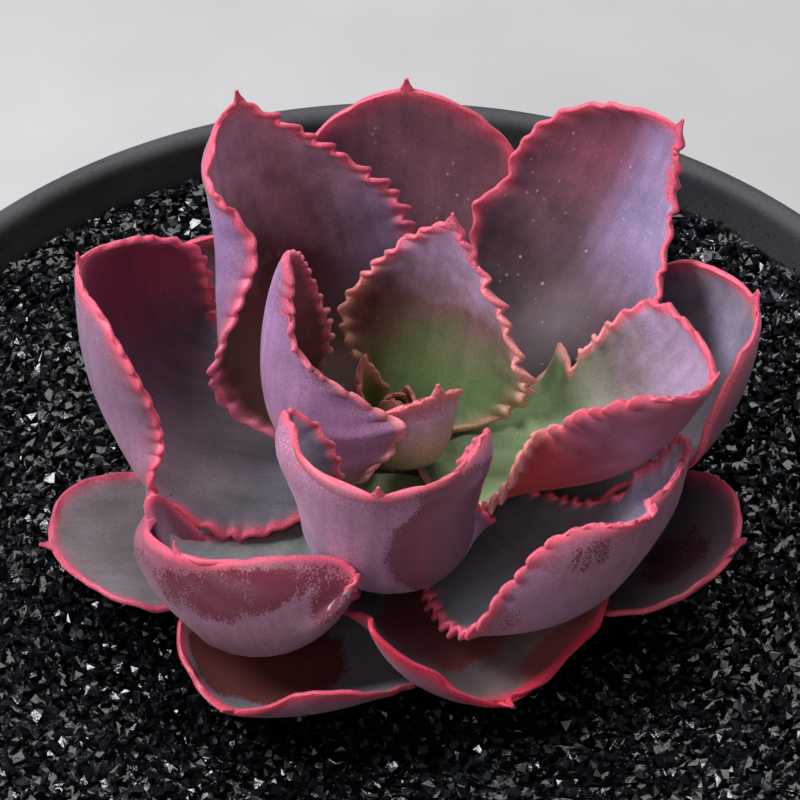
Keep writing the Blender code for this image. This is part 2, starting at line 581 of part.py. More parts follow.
def make_heart():
    material = finish("heart_green", HEART_GREEN, 0.6)
    seat = STEM_TOP + GAP
    outline = [(0, seat)] + [(r, seat + z) for r, z in BUD_PROFILE] + [(0, seat + BUD_PROFILE[-1][1] + 0.8)]
    bud = turned("heart", outline, BUD_SIDES, material, ROSETTE_HEIGHT)
    small = bpy.data.collections.new("heart_leaves")
    for values in HEART_LEAVES:
        leaf = {**PLAIN_LEAF, **values}
        sheet, s, run = leaf_sheet(leaf, 9, 2, HEART_CLAW, HEART_TIP)
        half = half_thickness(sheet, s, run, HEART_THICKNESS, HEART_THICKNESS * 0.8)
        points, faces = leaf_surface(sheet, half)
        piece = add_object("heart_leaf", points, faces, material, ROSETTE_HEIGHT)
        bpy.context.scene.collection.objects.unlink(piece)
        small.objects.link(piece)
    join = bud.modifiers.new("join", "BOOLEAN")
    join.operation = "UNION"
    join.solver = "EXACT"
    join.operand_type = "COLLECTION"
    join.collection = small
    joined = bpy.data.meshes.new_from_object(bud.evaluated_get(bpy.context.evaluated_depsgraph_get()))
    bud.modifiers.clear()
    bud.data = joined
    for piece in list(small.objects):
        bpy.data.objects.remove(piece, do_unlink=True)
    bpy.data.collections.remove(small)


clear_scene()
make_pot()
make_soil()
make_gravel()
make_stem()
make_heart()
make_leaves()
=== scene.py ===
import math
import bmesh
import bpy
import numpy as np
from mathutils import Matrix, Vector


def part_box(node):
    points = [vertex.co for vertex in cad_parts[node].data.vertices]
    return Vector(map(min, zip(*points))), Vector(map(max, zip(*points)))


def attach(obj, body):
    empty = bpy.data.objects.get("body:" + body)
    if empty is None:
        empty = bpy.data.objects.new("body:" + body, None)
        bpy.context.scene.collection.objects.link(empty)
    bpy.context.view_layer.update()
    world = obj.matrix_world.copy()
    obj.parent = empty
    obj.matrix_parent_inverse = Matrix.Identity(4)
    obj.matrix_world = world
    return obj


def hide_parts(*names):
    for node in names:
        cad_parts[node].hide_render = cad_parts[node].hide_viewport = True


# A frilled echeveria in a plain shallow pot with black angular gravel, dressed around the
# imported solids. Plant and pot sizes are in millimetres and become metres in addPiece.

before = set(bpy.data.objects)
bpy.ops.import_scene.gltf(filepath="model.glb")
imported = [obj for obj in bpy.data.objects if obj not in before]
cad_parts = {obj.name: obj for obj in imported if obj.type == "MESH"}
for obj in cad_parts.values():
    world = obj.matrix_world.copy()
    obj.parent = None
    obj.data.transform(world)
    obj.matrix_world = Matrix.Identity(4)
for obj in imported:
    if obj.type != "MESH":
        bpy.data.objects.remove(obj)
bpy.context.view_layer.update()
mm = 0.001
tiny = 1e-9  # keeps divisions by a length away from zero
print("frame loaded,", len(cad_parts), "nodes")


# Colour and shader helpers

def linearColour(hexValue):
    channels = [int(hexValue[k:k + 2], 16) / 255 for k in (1, 3, 5)]
    return tuple(c / 12.92 if c <= 0.04045 else ((c + 0.055) / 1.055)**2.4 for c in channels) + (1.0,)


def perMetre(sizeMm):  # texture scale for a pattern of that size
    return 1000.0 / sizeMm


def toneStops(tones):
    return {"stops": [(at, linearColour(tone)) for at, tone in tones]}


# Settings that many nodes share
mixing = {"data_type": "RGBA"}
darkening = {"data_type": "RGBA", "blend_type": "MULTIPLY"}
product = {"operation": "MULTIPLY"}
weightedSum = {"operation": "MULTIPLY_ADD"}
smoothly = {"interpolation_type": "SMOOTHSTEP"}


# Settings go to the node, and links to its sockets, by name or number or all in their order
def addNode(tree, kind, settings=None, links=(), out=0):
    node = tree.nodes.new("ShaderNode" + kind)
    for name, value in (settings or {}).items():
        if name == "stops":
            ramp = node.color_ramp
            while len(ramp.elements) < len(value):
                ramp.elements.new(0.5)
            for element, (place, colour) in zip(ramp.elements, value):
                element.position = place
                element.color = colour
        else:
            setattr(node, name, value)
    for socket, source in links.items() if isinstance(links, dict) else enumerate(links):
        target = node.inputs[socket]
        if isinstance(source, bpy.types.NodeSocket):
            tree.links.new(source, target)
        else:
            target.default_value = source
    return node.outputs[out] if len(node.outputs) else node


def newTree(name):
    material = bpy.data.materials.new(name)
    material.use_nodes = True
    material.node_tree.nodes.clear()
    return material, material.node_tree


# Matt stuff with the colours and the relief of one noise; bump is (strength, depth in mm)
def makeMatt(name, grainMm, detail, tones, roughness, bump=None):
    material, tree = newTree(name)
    place = addNode(tree, "TexCoord", out="Object")
    grain = addNode(tree, "TexNoise", links={"Vector": place, "Scale": perMetre(grainMm), "Detail": detail})
    tone = addNode(tree, "ValToRGB", toneStops(tones), {"Fac": grain})
    look = {"Base Color": tone, "Roughness": roughness}
    if bump:
        look["Normal"] = addNode(tree, "Bump", links={"Strength": bump[0], "Distance": bump[1] * mm,
                                                      "Height": grain})
    shader = addNode(tree, "BsdfPrincipled", links=look)
    addNode(tree, "OutputMaterial", links={"Surface": shader})
    return material


# A closed mesh from points in mm in the place of one CAD node; values are numbers kept on its
# points for the shader
def addPiece(name, node, points, faces, material, height=0.0, values=None, smooth=True):
    mesh = bpy.data.meshes.new(name)
    placed = (np.asarray(points, float) + (0, 0, height)) * mm
    mesh.from_pydata(placed.tolist(), [], [list(face) for face in faces])
    for key, numbers in (values or {}).items():
        numbers = np.asarray(numbers, np.float32)
        kind = "FLOAT" if numbers.ndim == 1 else "FLOAT_VECTOR"
        attribute = mesh.attributes.new(key, kind, "POINT")
        attribute.data.foreach_set("value" if numbers.ndim == 1 else "vector", numbers.ravel())
    mesh.materials.append(material)
    if smooth:
        mesh.shade_smooth()
    piece = bpy.data.objects.new(name, mesh)
    bpy.context.scene.collection.objects.link(piece)
    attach(piece, "root")
    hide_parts(node)


# The rosette's build, shared by every leaf: its place, its stem, then a leaf's own sizes

rosette = dict(
    height=84.0, ground=-7.0, goldenAngle=137.5, firstAzimuth=345.0, firstOrder=-4, baseRadius=6.5,
    baseHeight=9.5, internode=0.95, taperStart=9.0, taper=0.35, midribThickness=2.3, marginThickness=1.2,
    thinning=0.35, tipThins=22, thinnest=0.35, claw=4.4, tipLength=3.0, tipStraight=5.0, ribSteps=200,
    tipSteps=12, roundness=4, lipBend=3.5, lobeWidth=12.0, lobeBend=3)

# How crossing leaves are eased apart: clearance and steps in mm, shares of the rounds. A calmed
# place keeps a share of its own move and takes one from each of its four neighbours.
easing = dict(
    clearance=0.45, rounds=160, calmUntil=0.6, carefulFrom=0.8, reach=9.0, sideways=1.8, ease=0.3,
    longestStep=1.2, calmKeeps=0.4, calmTakes=0.15, calmGain=1.6, neighbourAngle=110.0, margin=4,
    gravelGap=0.4, lift=0.5, baseHeld=0.03, baseFreed=0.08, digits=4)

# The grids of the solids, (rows, columns in a half), by how far a leaf folds and how old it is
coarseGrid = dict(
    strongCup=80, strongUpTo=8, strong=(24, 4), youngUpTo=10, young=(20, 3), low=(16, 3), steps=12,
    rippleLength=2.0, faintRipple=0.4, faintLength=18.0)

plainLeaf = dict(
    turn=0, drift=(0, 0, 0), widest=0.72, belly=0.7, bend=(1, 1), tipRound=((2.8, 0.5), (2.8, 0.5)),
    ripple=(0.15, 9), cup=((10, 20, 40, 40, 20), (10, 20, 40, 40, 20)),
    lip=((0, 0, 0, 0, 0), (0, 0, 0, 0, 0)), lobes=())

# Leaves from the youngest to the oldest, along the spiral; turn adds degrees to a leaf's own.
# path is where the midrib bends to, as (radius, height), and drift moves it sideways. Pairs are
# for the left and the right half. halfWidths are arcs from midrib to margin; cup and lip are
# how far a half folds, from base to tip; ripple is the margin's wave, height and length. Each
# lobe swells one margin: (side, where along the leaf, how far it reaches, outward, up).
leafShapes = [
    dict(path=((9, 15), (10, 22), (8, 31)), halfWidths=(7, 7), widest=0.5, ripple=(0.2, 6),
         tipRound=((1.2, 1), (1.2, 1)), cup=((40, 80, 90, 60, 20), (40, 80, 90, 60, 20))),
    dict(turn=8, path=((14, 14), (19, 25), (17, 39)), halfWidths=(8, 16), ripple=(0.5, 6),
         cup=((30, 80, 100, 80, 20), (30, 60, 70, 60, 20))),
    dict(turn=-10, path=((20, 14), (25, 38), (23.5, 55.5)), halfWidths=(23, 25), widest=0.48,
         ripple=(1.5, 7), tipRound=((1.5, 0.8), (1.3, 1.0)),
         cup=((20, 50, 50, 40, 10), (20, 30, 40, 40, 40)), lip=((0, -10, 0, 0, 0), (0, -50, 0, 0, 0)),
         lobes=((1, 0.88, 0.12, -3, 0),)),
    dict(turn=-13, path=((30, 8), (32, 38), (23, 68)), halfWidths=(34, 25), widest=0.5, ripple=(0.9, 7),
         tipRound=((1.1, 1.3), (2, 0.6)), cup=((30, 80, 110, 90, 60), (30, 80, 100, 80, 60)),
         lobes=((0, 0.78, 0.13, -5, 0),)),
    dict(turn=-3, path=((40, 8), (58, 16), (68, 49)), halfWidths=(31, 31), widest=0.76, bend=(1, 0.8),
         ripple=(1.3, 6), cup=((20, 40, 75, 75, 60), (20, 30, 100, 108, 85)),
         lip=((0, -30, 0, 0, 0), (0, -60, 0, 0, 0)),
         lobes=((0, 0.3, 0.045, 8, 0), (0, 0.38, 0.03, -2, 0), (1, 0.7, 0.2, -2, 0))),
    dict(turn=5, path=((34, 12), (50, 36), (55, 69)), halfWidths=(35, 31), widest=0.6, belly=0.55,
         ripple=(0.9, 8), tipRound=((2.8, 0.5), (1.4, 0.9)),
         cup=((20, 45, 60, 100, 70), (20, 35, 55, 65, 60)), lip=((0, -60, 40, 30, -10), (0, -20, 0, 0, 0)),
         lobes=((0, 0.93, 0.05, 3, -3),)),
    dict(turn=6, path=((50, 1), (49, 12), (52, 47.5)), halfWidths=(37, 37), widest=0.88, belly=0.6,
         bend=(0.9, 0.9), ripple=(0.6, 7), tipRound=((3, 0.5), (3, 0.5)),
         cup=((20, 75, 95, 95, 80), (20, 70, 90, 95, 80)), lip=((0, 0, 30, 50, 10), (0, 0, 60, 90, 10)),
         lobes=((1, 0.9, 0.1, 1, -3), (0, 0.98, 0.02, -4, 0))),
    dict(turn=-3, path=((38, 10), (62, 26), (71, 65)), halfWidths=(32, 31), drift=(2, 6, -1), widest=0.62,
         belly=0.6, ripple=(0.5, 7), tipRound=((2.6, 0.5), (1.1, 1.1)),
         cup=((20, 40, 60, 60, 50), (20, 35, 50, 55, 50)), lip=((0, -15, 0, 0, 0), (0, -15, 0, 0, 0)),
         lobes=((0, 0.54, 0.05, 2, 0), (0, 0.63, 0.05, -2, 0), (0, 0.36, 0.12, -4, 0), (1, 0.9, 0.12, -6, 0),
                (1, 0.58, 0.1, 3, 0))),
    dict(turn=-3, path=((62, -2), (69, 2), (67, 54)), halfWidths=(36, 34), widest=0.78, belly=0.5,
         ripple=(0.4, 7), tipRound=((2.4, 0.5), (2.2, 0.7)),
         cup=((20, 0, 40, 90, 70), (20, 35, 80, 95, 60)), lip=((0, -20, 0, 10, 0), (0, -40, -20, 0, 0)),
         lobes=((0, 0.8, 0.2, -5, 0), (1, 0.88, 0.06, 2, 0))),
    dict(turn=2, path=((54, -4), (73, 0), (71.5, 36)), halfWidths=(33, 31), drift=(-6, -6, 3), widest=0.76,
         belly=1.1, bend=(1, 0.9), ripple=(0.4, 7), cup=((20, 30, 60, 30, 10), (20, 10, 35, 65, 75)),
         lip=((0, -10, 0, 20, 0), (0, -10, -10, 0, 0)),
         lobes=((0, 0.45, 0.15, -5, 0), (0, 0.9, 0.12, 5, 0), (1, 0.85, 0.15, -5, 0))),
    dict(turn=-2, path=((36, 6), (56, 32), (57, 61.5)), halfWidths=(26, 26), ripple=(0.25, 9),
         tipRound=((1.8, 0.6), (1.8, 0.6)), cup=((20, 30, 40, 30, 10), (20, 15, 10, 5, 5))),
    dict(turn=1, path=((54, -6), (74, -5), (66, 28)), halfWidths=(43, 42), drift=(8, 12, -1), widest=0.82,
         belly=1.8, bend=(0.7, 1), ripple=(0.3, 9), tipRound=((2, 0.9), (4, 0.5)),
         cup=((20, 45, 75, 90, 70), (20, 20, 50, 64, 70)),
         lobes=((0, 0.8, 0.08, -8, 0), (0, 0.92, 0.02, 1.5, 0), (0, 0.985, 0.02, -6, 0))),
    dict(turn=3, path=((35, 2), (66, 10), (75, 43)), halfWidths=(27, 30), ripple=(0.2, 9),
         cup=((20, 30, 50, 60, 50), (20, 30, 60, 80, 60))),
    dict(turn=2, path=((35, 2), (58, 8), (64, 30)), halfWidths=(28, 28), ripple=(0.2, 9),
         cup=((15, 15, 30, 40, 20), (15, 25, 40, 40, 20))),
    dict(turn=5, path=((30, -4), (60, -7), (70.5, 2)), halfWidths=(35, 29), drift=(0, 0, 4), widest=0.76,
         belly=1, cup=((10, 0, 20, 45, 50), (10, 10, 50, 90, 70)),
         lobes=((0, 0.88, 0.12, -7, -3), (1, 0.8, 0.12, 2, -4))),
    dict(path=((30, -3), (55, -2), (78, 6)), halfWidths=(27, 27)),
    dict(turn=3, path=((30, -6), (55, -6), (76, 4)), halfWidths=(28, 18),
         cup=((10, 5, 20, 35, 30), (10, 20, 30, 30, 20))),
    dict(turn=5, path=((30, -5), (55, -5), (75.5, 12)), halfWidths=(21, 27.5),
         cup=((10, 20, 40, 40, 20), (10, 15, 40, 50, 30))),
    dict(path=((30, -6), (55, -5), (78, 2)), halfWidths=(26, 26)),
    dict(turn=6, path=((34, -6), (60, -7), (73, 2)), halfWidths=(31, 26.5), drift=(0, -6, -13),
         cup=((10, 10, 15, 45, 60), (10, 20, 50, 60, 40)), lobes=((0, 0.7, 0.15, -4, 0),))]


def baseRadius(height):
    return rosette["baseRadius"] - rosette["taper"] * max(0.0, height - rosette["taperStart"])


# Values between their stations along one axis, read off a smooth curve through them
def spread(values, oldAt, newAt, axis=0):
    values = np.moveaxis(np.asarray(values, float), axis, 0)
    slope = np.gradient(values, oldAt, axis=0)
    i = np.clip(np.searchsorted(oldAt, newAt, side="right") - 1, 0, len(oldAt) - 2)
    shape = (-1,) + (1,) * (values.ndim - 1)
    step = (oldAt[i + 1] - oldAt[i]).reshape(shape)
    t = np.clip((newAt - oldAt[i]).reshape(shape) / step, 0, 1)
    result = ((2 * t**3 - 3 * t**2 + 1) * values[i] + (t**3 - 2 * t**2 + t) * step * slope[i]
              + (-2 * t**3 + 3 * t**2) * values[i + 1] + (t**3 - t**2) * step * slope[i + 1])
    return np.moveaxis(result, 0, axis)


def midrib(leaf, tipLength):
    azimuth = math.radians(rosette["firstAzimuth"] + rosette["goldenAngle"] * leaf["order"] + leaf["turn"])
    out = np.array([math.cos(azimuth), math.sin(azimuth), 0])
    across = np.array([-math.sin(azimuth), math.cos(azimuth), 0])
    baseHeight = rosette["baseHeight"] - rosette["internode"] * leaf["order"]
    base = leaf.get("base", (baseRadius(baseHeight), baseHeight))
    pulls = np.array([base, *leaf["path"]], float)
    t = np.linspace(0, 1, rosette["ribSteps"])
    weights = np.stack([(1 - t)**3, 3 * t * (1 - t)**2, 3 * t * t * (1 - t), t**3], 1)
    place = weights @ pulls
    side = weights @ np.array((0, *leaf["drift"]), float)
    line = place[:, :1] * out + side[:, None] * across + place[:, 1:] * np.array([0, 0, 1.0])
    ahead = line[-1] - line[-2]
    ahead /= np.linalg.norm(ahead)
    tip = line[-1] + ahead * np.linspace(0, tipLength, rosette["tipSteps"])[1:, None]
    return np.vstack([line, tip]), across


# The pointed tip: its rows as shares of its length, then end and root half widths, how far
# it reaches into the blade, and how hollow its flanks are
plainTip = dict(stations=(0.3, 0.65, 1.0), end=0.4, root=1.5, reach=1.5, hollow=1.6)


# Where waves fade out: mm free of them at the tip and mm to grow over there, then the shares
# of the leaf where they start at its base and grow over. wander is how much and how slowly
# their pace drifts, and sideShift sets the right margin's waves off from the left one's.
rippleFade = dict(
    tipFree=3, tipGrow=6, baseFree=0.15, baseGrow=0.25, riseFrom=0.5, power=1.6, swell=0.35,
    sideShift=1.7, wander=(0.9, 0.21))
frillFade = dict(
    tipFree=2, tipGrow=5, baseFree=0.1, baseGrow=0.15, calm=0.35, calmFrom=0.5, calmGrow=0.4, power=1.6,
    uneven=0.2, unevenPace=0.37, scallop=0.6, scallopAhead=0.6, sideShift=2.3,
    wander=((0.8, 0.23), (0.5, 0.61)))


def fadeAlong(fade, toTip, s):
    nearTip = np.clip((toTip - fade["tipFree"]) / fade["tipGrow"], 0, 1)
    return nearTip * np.clip((s - fade["baseFree"]) / fade["baseGrow"], 0, 1)


# The margin's long wave: how far the sheet goes up and outwards
def rippleOf(ripple, leaf, k, edge, toTip, s, v):
    f = rippleFade
    height, length = ripple
    phase = 2 * math.pi * edge / length + f["sideShift"] * k + leaf["order"]
    fade = height * fadeAlong(f, toTip, s)
    rise = np.clip((v - f["riseFrom"]) / (1 - f["riseFrom"]), 0, 1)[:, None]**f["power"]
    much, pace = f["wander"]
    wave = fade * np.sin(phase + much * np.sin(phase * pace))
    swell = f["swell"] * fade * np.cos(2 * phase)
    return wave[:, None, None] * rise, swell[:, None, None] * rise


# The margin's fine frill, in the same two directions
def frillOf(frill, leaf, k, edge, toTip, s, toRim):
    f = frillFade
    height, length = frill[k]
    beat = 2 * math.pi * edge / length + f["sideShift"] * k + leaf["order"]
    (much, slow), (little, quick) = f["wander"]
    beat = beat + much * np.sin(beat * slow) + little * np.sin(beat * quick)
    calm = 1 - f["calm"] * np.clip((s - f["calmFrom"]) / f["calmGrow"], 0, 1)
    uneven = 1 - f["uneven"] + f["uneven"] * np.sin(beat * f["unevenPace"])
    nearRim = np.clip(1 - toRim / frill[2], 0, 1)**f["power"]
    waved = (height * fadeAlong(f, toTip, s) * calm * uneven)[:, None] * nearRim
    scallop = f["scallop"] * waved * np.cos(beat + f["scallopAhead"])[:, None]
    return (waved * np.sin(beat)[:, None])[..., None], scallop[..., None]


# Half widths of one side, from the claw at the base over the widest place to the spiked tip
def halfWidthsAlong(leaf, k, s, claw, spike):
    widest, halfWidth, (early, late) = leaf["widest"], leaf["halfWidths"][k], leaf["tipRound"][k]
    grow = np.sin(np.clip(s / widest, 0, 1) * math.pi / 2)**leaf["belly"]
    fall = (1 - np.clip((s - widest) / (1 - widest), 0, 1)**early)**late
    width = np.where(s < widest, claw + (halfWidth - claw) * grow, halfWidth * fall)
    return (width**rosette["roundness"] + spike**rosette["roundness"])**(1 / rosette["roundness"])


# The middle surface of a leaf. picks are the chosen steps out of the fine ones from midrib
# to margin. A frill is (height, length) for the left and the right margin and how far it
# reaches into the blade.
def leafSheet(leaf, rows, steps, picks, ripple, claw, tipLength, tip=plainTip, frill=None):
    line, across = midrib(leaf, tipLength)
    run = np.concatenate([[0], np.cumsum(np.linalg.norm(np.diff(line, axis=0), axis=1))])
    body, total = run[rosette["ribSteps"] - 1], run[-1]
    widest = leaf["widest"]
    q = np.linspace(0, 1, rows)
    beyond = widest + (1 - widest) * np.sin((q - widest) / (1 - widest) * math.pi / 2)
    stations = np.where(q < widest, q, beyond) * body
    ell = np.concatenate([stations, body + tipLength * np.array(tip["stations"])])
    s = np.clip(ell / body, 0, 1)
    rib = np.stack([np.interp(ell, run, line[:, k]) for k in range(3)], 1)
    ahead = np.gradient(rib, ell, axis=0)
    ahead /= np.linalg.norm(ahead, axis=1)[:, None]
    up = np.cross(ahead, across)
    up /= np.linalg.norm(up, axis=1)[:, None]
    left = np.cross(up, ahead)
    past = np.clip((ell - body + tip["reach"]) / (tipLength + tip["reach"]), 0, 1)
    spike = tip["end"] + tip["root"] * (1 - past)**tip["hollow"]
    nearTip = np.clip((total - ell) / rosette["tipStraight"], 0, 1)
    quarters = np.linspace(0, 1, len(leaf["cup"][0]))
    v = np.linspace(0, 1, steps + 1)
    halves, widths = [], []
    for k, sign in ((0, 1), (1, -1)):
        width = halfWidthsAlong(leaf, k, s, claw, spike)
        cup, lip = [np.radians(spread(leaf[fold][k], quarters, s)) * nearTip for fold in ("cup", "lip")]
        turn = cup[:, None] * v**leaf["bend"][k] + lip[:, None] * v**rosette["lipBend"]
        middle = (turn[:, 1:] + turn[:, :-1]) / 2
        step = width[:, None] / steps
        start = np.zeros((len(s), 1))
        y = (np.hstack([start, np.cumsum(np.cos(middle), 1)]) * step)[:, picks]
        z = (np.hstack([start, np.cumsum(np.sin(middle), 1)]) * step)[:, picks]
        turn = turn[:, picks]
        sheet = rib[:, None] + sign * y[..., None] * left[:, None] + z[..., None] * up[:, None]
        faceUp = -sign * np.sin(turn)[..., None] * left[:, None] + np.cos(turn)[..., None] * up[:, None]
        outward = sign * np.cos(turn)[..., None] * left[:, None] + np.sin(turn)[..., None] * up[:, None]
        edge = np.concatenate([[0], np.cumsum(np.linalg.norm(np.diff(sheet[:, -1], axis=0), axis=1))])
        wave, swell = rippleOf(ripple, leaf, k, edge, total - ell, s, v[picks])
        sheet = sheet + wave * faceUp + swell * outward
        for lobeSide, at, reach, out, lift in leaf["lobes"]:
            if lobeSide == k:
                bump = np.exp(-((s - at) / reach)**2) * np.clip(width / rosette["lobeWidth"], 0, 1)
                bump = bump[:, None, None] * v[picks][:, None]**rosette["lobeBend"]
                sheet = sheet + bump * (out * outward + lift * faceUp)
        if frill:
            toRim = width[:, None] * (1 - v[picks])
            wave, scallop = frillOf(frill, leaf, k, edge, total - ell, s, toRim)
            sheet = sheet + wave * faceUp + scallop * outward
        halves.append(sheet)
        widths.append(width)
    grid = np.concatenate([halves[1][:, ::-1], halves[0][:, 1:]], 1)
    return dict(leaf=leaf, sheet=grid, s=s, run=ell / total, ell=ell, widths=widths)


def sheetNormals(sheet):
    normal = np.cross(np.gradient(sheet, axis=0), np.gradient(sheet, axis=1))
    return normal / (np.linalg.norm(normal, axis=2, keepdims=True) + tiny)


def halfThickness(s, run, v, midribThickness, marginThickness):
    flesh = midribThickness * (1 - rosette["thinning"] * s)[:, None]
    thickness = flesh * (1 - v**2) + marginThickness * v**2
    return 0.5 * thickness * np.clip((1 - run) * rosette["tipThins"], rosette["thinnest"], 1)[:, None]


def denser(sheet):
    rows = np.repeat(sheet, 2, 0)[:-1].copy()
    rows[1::2] = (sheet[:-1] + sheet[1:]) / 2
    both = np.repeat(rows, 2, 1)[:, :-1].copy()
    both[:, 1::2] = (rows[:, :-1] + rows[:, 1:]) / 2
    return both


def calmed(field):
    wide = np.pad(field, ((1, 1), (1, 1), (0, 0)), mode="edge")
    around = wide[:-2, 1:-1] + wide[2:, 1:-1] + wide[1:-1, :-2] + wide[1:-1, 2:]
    return easing["calmKeeps"] * field + easing["calmTakes"] * around


def angleBetween(one, other):
    angle = (rosette["goldenAngle"] * (one["order"] - other["order"]) + one["turn"] - other["turn"]) % 360
    return min(angle, 360 - angle)


def addMoves(push, points, columns, moves):
    row = np.minimum((points // columns + 1) // 2, push.shape[0] - 1)
    column = np.minimum((points % columns + 1) // 2, push.shape[1] - 1)
    np.add.at(push, (row, column), moves)


# Pushes leaves a and b apart where they come too near; side is 1 where b lies below
def pushApart(a, b, side, careful):
    own = (b["dense"] if careful else b["now"]).reshape(-1, 3)
    ownHalf = (b["denseHalf"] if careful else b["half"]).reshape(-1)
    other, otherHalf = a["dense"].reshape(-1, 3), a["denseHalf"].reshape(-1)
    low = np.maximum(own.min(0), other.min(0)) - easing["margin"]
    high = np.minimum(own.max(0), other.max(0)) + easing["margin"]
    near = np.nonzero(np.all((own > low) & (own < high), 1))[0]
    far = np.nonzero(np.all((other > low) & (other < high), 1))[0]
    if not len(near) or not len(far):
        return 0
    squares = (own[near]**2).sum(1)[:, None] + (other[far]**2).sum(1) - 2 * own[near] @ other[far].T
    hit = far[np.argmin(squares, 1)]
    between = own[near] - other[hit]
    normal = a["denseNormal"].reshape(-1, 3)[hit]
    offset = (between * normal).sum(1)
    aside = np.sqrt(np.maximum((between**2).sum(1) - offset**2, 0))
    wanted = ownHalf[near] + otherHalf[hit] + easing["clearance"]
    gap = -side * offset
    close = (gap < wanted) & (gap > -easing["reach"]) & (aside < easing["sideways"])
    move = easing["ease"] * -side * normal[close] * (wanted - gap)[close][:, None]
    if careful:
        addMoves(b["push"], near[close], b["dense"].shape[1], move)
    else:
        np.add.at(b["push"].reshape(-1, 3), near[close], move)
    addMoves(a["push"], hit[close], a["dense"].shape[1], -move)
    return int(close.sum())


# Eases the crossing leaves apart, as in the solids, so that the fine leaves lie where they do
def settle(leaves):
    pairs = [(a, b) for k, a in enumerate(leaves) for b in leaves[k + 1:]
             if angleBetween(a["leaf"], b["leaf"]) < easing["neighbourAngle"]]
    for item in leaves:
        v = np.abs(np.linspace(-1, 1, item["sheet"].shape[1]))
        item["shift"] = np.zeros_like(item["sheet"])
        item["half"] = halfThickness(item["s"], item["run"], v, rosette["midribThickness"],
                                     rosette["marginThickness"])
        item["denseHalf"] = denser(item["half"][..., None])[..., 0]
        item["hold"] = np.clip((item["s"] - easing["baseHeld"]) / easing["baseFreed"], 0, 1)[:, None, None]
    for count in range(easing["rounds"]):
        for item in leaves:
            item["now"] = item["sheet"] + item["shift"]
            item["push"] = np.zeros_like(item["now"])
            item["dense"] = denser(item["now"])
            item["denseNormal"] = sheetNormals(item["dense"])
        early = count < easing["rounds"] * easing["calmUntil"]
        late = count >= easing["rounds"] * easing["carefulFrom"]
        found = 0
        for upper, lower in pairs:
            found += pushApart(upper, lower, 1, late)
            found += pushApart(lower, upper, -1, late)
        for item in leaves:
            push = item["push"]
            low = rosette["ground"] + easing["gravelGap"] + item["half"] - item["now"][..., 2]
            push[..., 2] += easing["lift"] * np.maximum(low, 0)
            size = np.linalg.norm(push, axis=2, keepdims=True)
            push *= np.minimum(1, easing["longestStep"] / np.maximum(size, tiny))
            if count % 2 or not late:
                push = calmed(push) * easing["calmGain"]
            shift = item["shift"] + push * item["hold"]
            if early:
                shift = calmed(shift) * item["hold"]
            item["shift"] = np.round(shift, easing["digits"])
        if not found:
            break


def coarseSheet(leaf):  # the same grid as the leaf's solid has
    grid = coarseGrid
    rows, columns = grid["young"] if leaf["order"] <= grid["youngUpTo"] else grid["low"]
    left, right = leaf["cup"]
    if max(left + right) >= grid["strongCup"] and leaf["order"] <= grid["strongUpTo"]:
        rows, columns = grid["strong"]
    height, length = leaf["ripple"]
    length = grid["faintLength"] if height < grid["faintRipple"] else length * grid["rippleLength"]
    steps = grid["steps"]
    picks = np.arange(columns + 1) * steps
    return leafSheet(leaf, rows - len(plainTip["stations"]), columns * steps, picks, (height, length),
                     rosette["claw"], rosette["tipLength"])


# Fine leaves: many rows, a rounded margin, a keel, faint pleats and the fine frills

leafDetail = dict(
    steps=240, columns=16, crowding=1.6, rows=200, plainRows=120, frilledFrom=0.5, beadSteps=3,
    beadReach=0.8, keel=0.5, keelWidth=0.1, keelRise=4, keelEnd=12, pleat=0.3, frillReach=4.2,
    tipFrom=0.85, betweenRows=(0, 0.25, 0.5, 0.75), rubEdge=1.6, rubFacing=0.5, faintFrill=(0.3, 8))

fineTip = dict(stations=(0.12, 0.26, 0.42, 0.6, 0.8, 0.93, 1.0), end=0.25, root=3.2, reach=3.0, hollow=1.5)

# The margins' fine frills, left and right, as (height, length)
frills = {
    "leaf_01": ((0.4, 3.6), (0.4, 3.6)), "leaf_02": ((0.6, 4.2), (0.9, 4.2)),
    "leaf_03": ((0.9, 4.4), (1.8, 5.6)), "leaf_04": ((1.2, 4.0), (1.2, 4.0)),
    "leaf_05": ((1.1, 6.0), (1.8, 4.2)), "leaf_06": ((0.8, 5.0), (1.5, 4.6)),
    "leaf_07": ((1.0, 4.2), (1.0, 4.2)), "leaf_08": ((0.7, 6.0), (1.3, 5.2)),
    "leaf_09": ((0.9, 4.6), (1.0, 4.6)), "leaf_10": ((1.3, 4.6), (1.3, 4.6)),
    "leaf_12": ((0.4, 5.5), (0.4, 5.5))}


# How far the bloom is rubbed off in a leaf's rubbed places
def rubbedPlaces(rubs, along, across, facings):
    rub = np.zeros_like(along)
    for face, at, offset, length, breadth, strength in rubs:
        far = np.sqrt(((along - at) / length)**2 + ((across[None] - offset) / breadth)**2)
        patch = strength * np.clip(leafDetail["rubEdge"] * (1 - far), 0, 1)
        rub = np.maximum(rub, patch * (facings * face > leafDetail["rubFacing"]))
    return rub


# Distance to the margin in mm: along the sheet, or as measured near the tip, where a blunt
# margin turns across the leaf
def rimDistance(sheet, s, width, across):
    rim = width * (1 - np.abs(across)[None])
    margin = np.concatenate([sheet[:, 0], sheet[::-1, -1]])
    margin = np.concatenate([margin[:-1] + t * np.diff(margin, axis=0) for t in leafDetail["betweenRows"]])
    gap = np.full(sheet.shape[:2], rim.max())
    for row in np.nonzero(s > leafDetail["tipFrom"])[0]:
        gap[row] = np.linalg.norm(sheet[row, :, None] - margin, axis=2).min(1)
    onBead = np.zeros((len(s), leafDetail["beadSteps"]))
    return np.minimum(rim, np.concatenate([gap, onBead, gap[:, ::-1], onBead], 1))


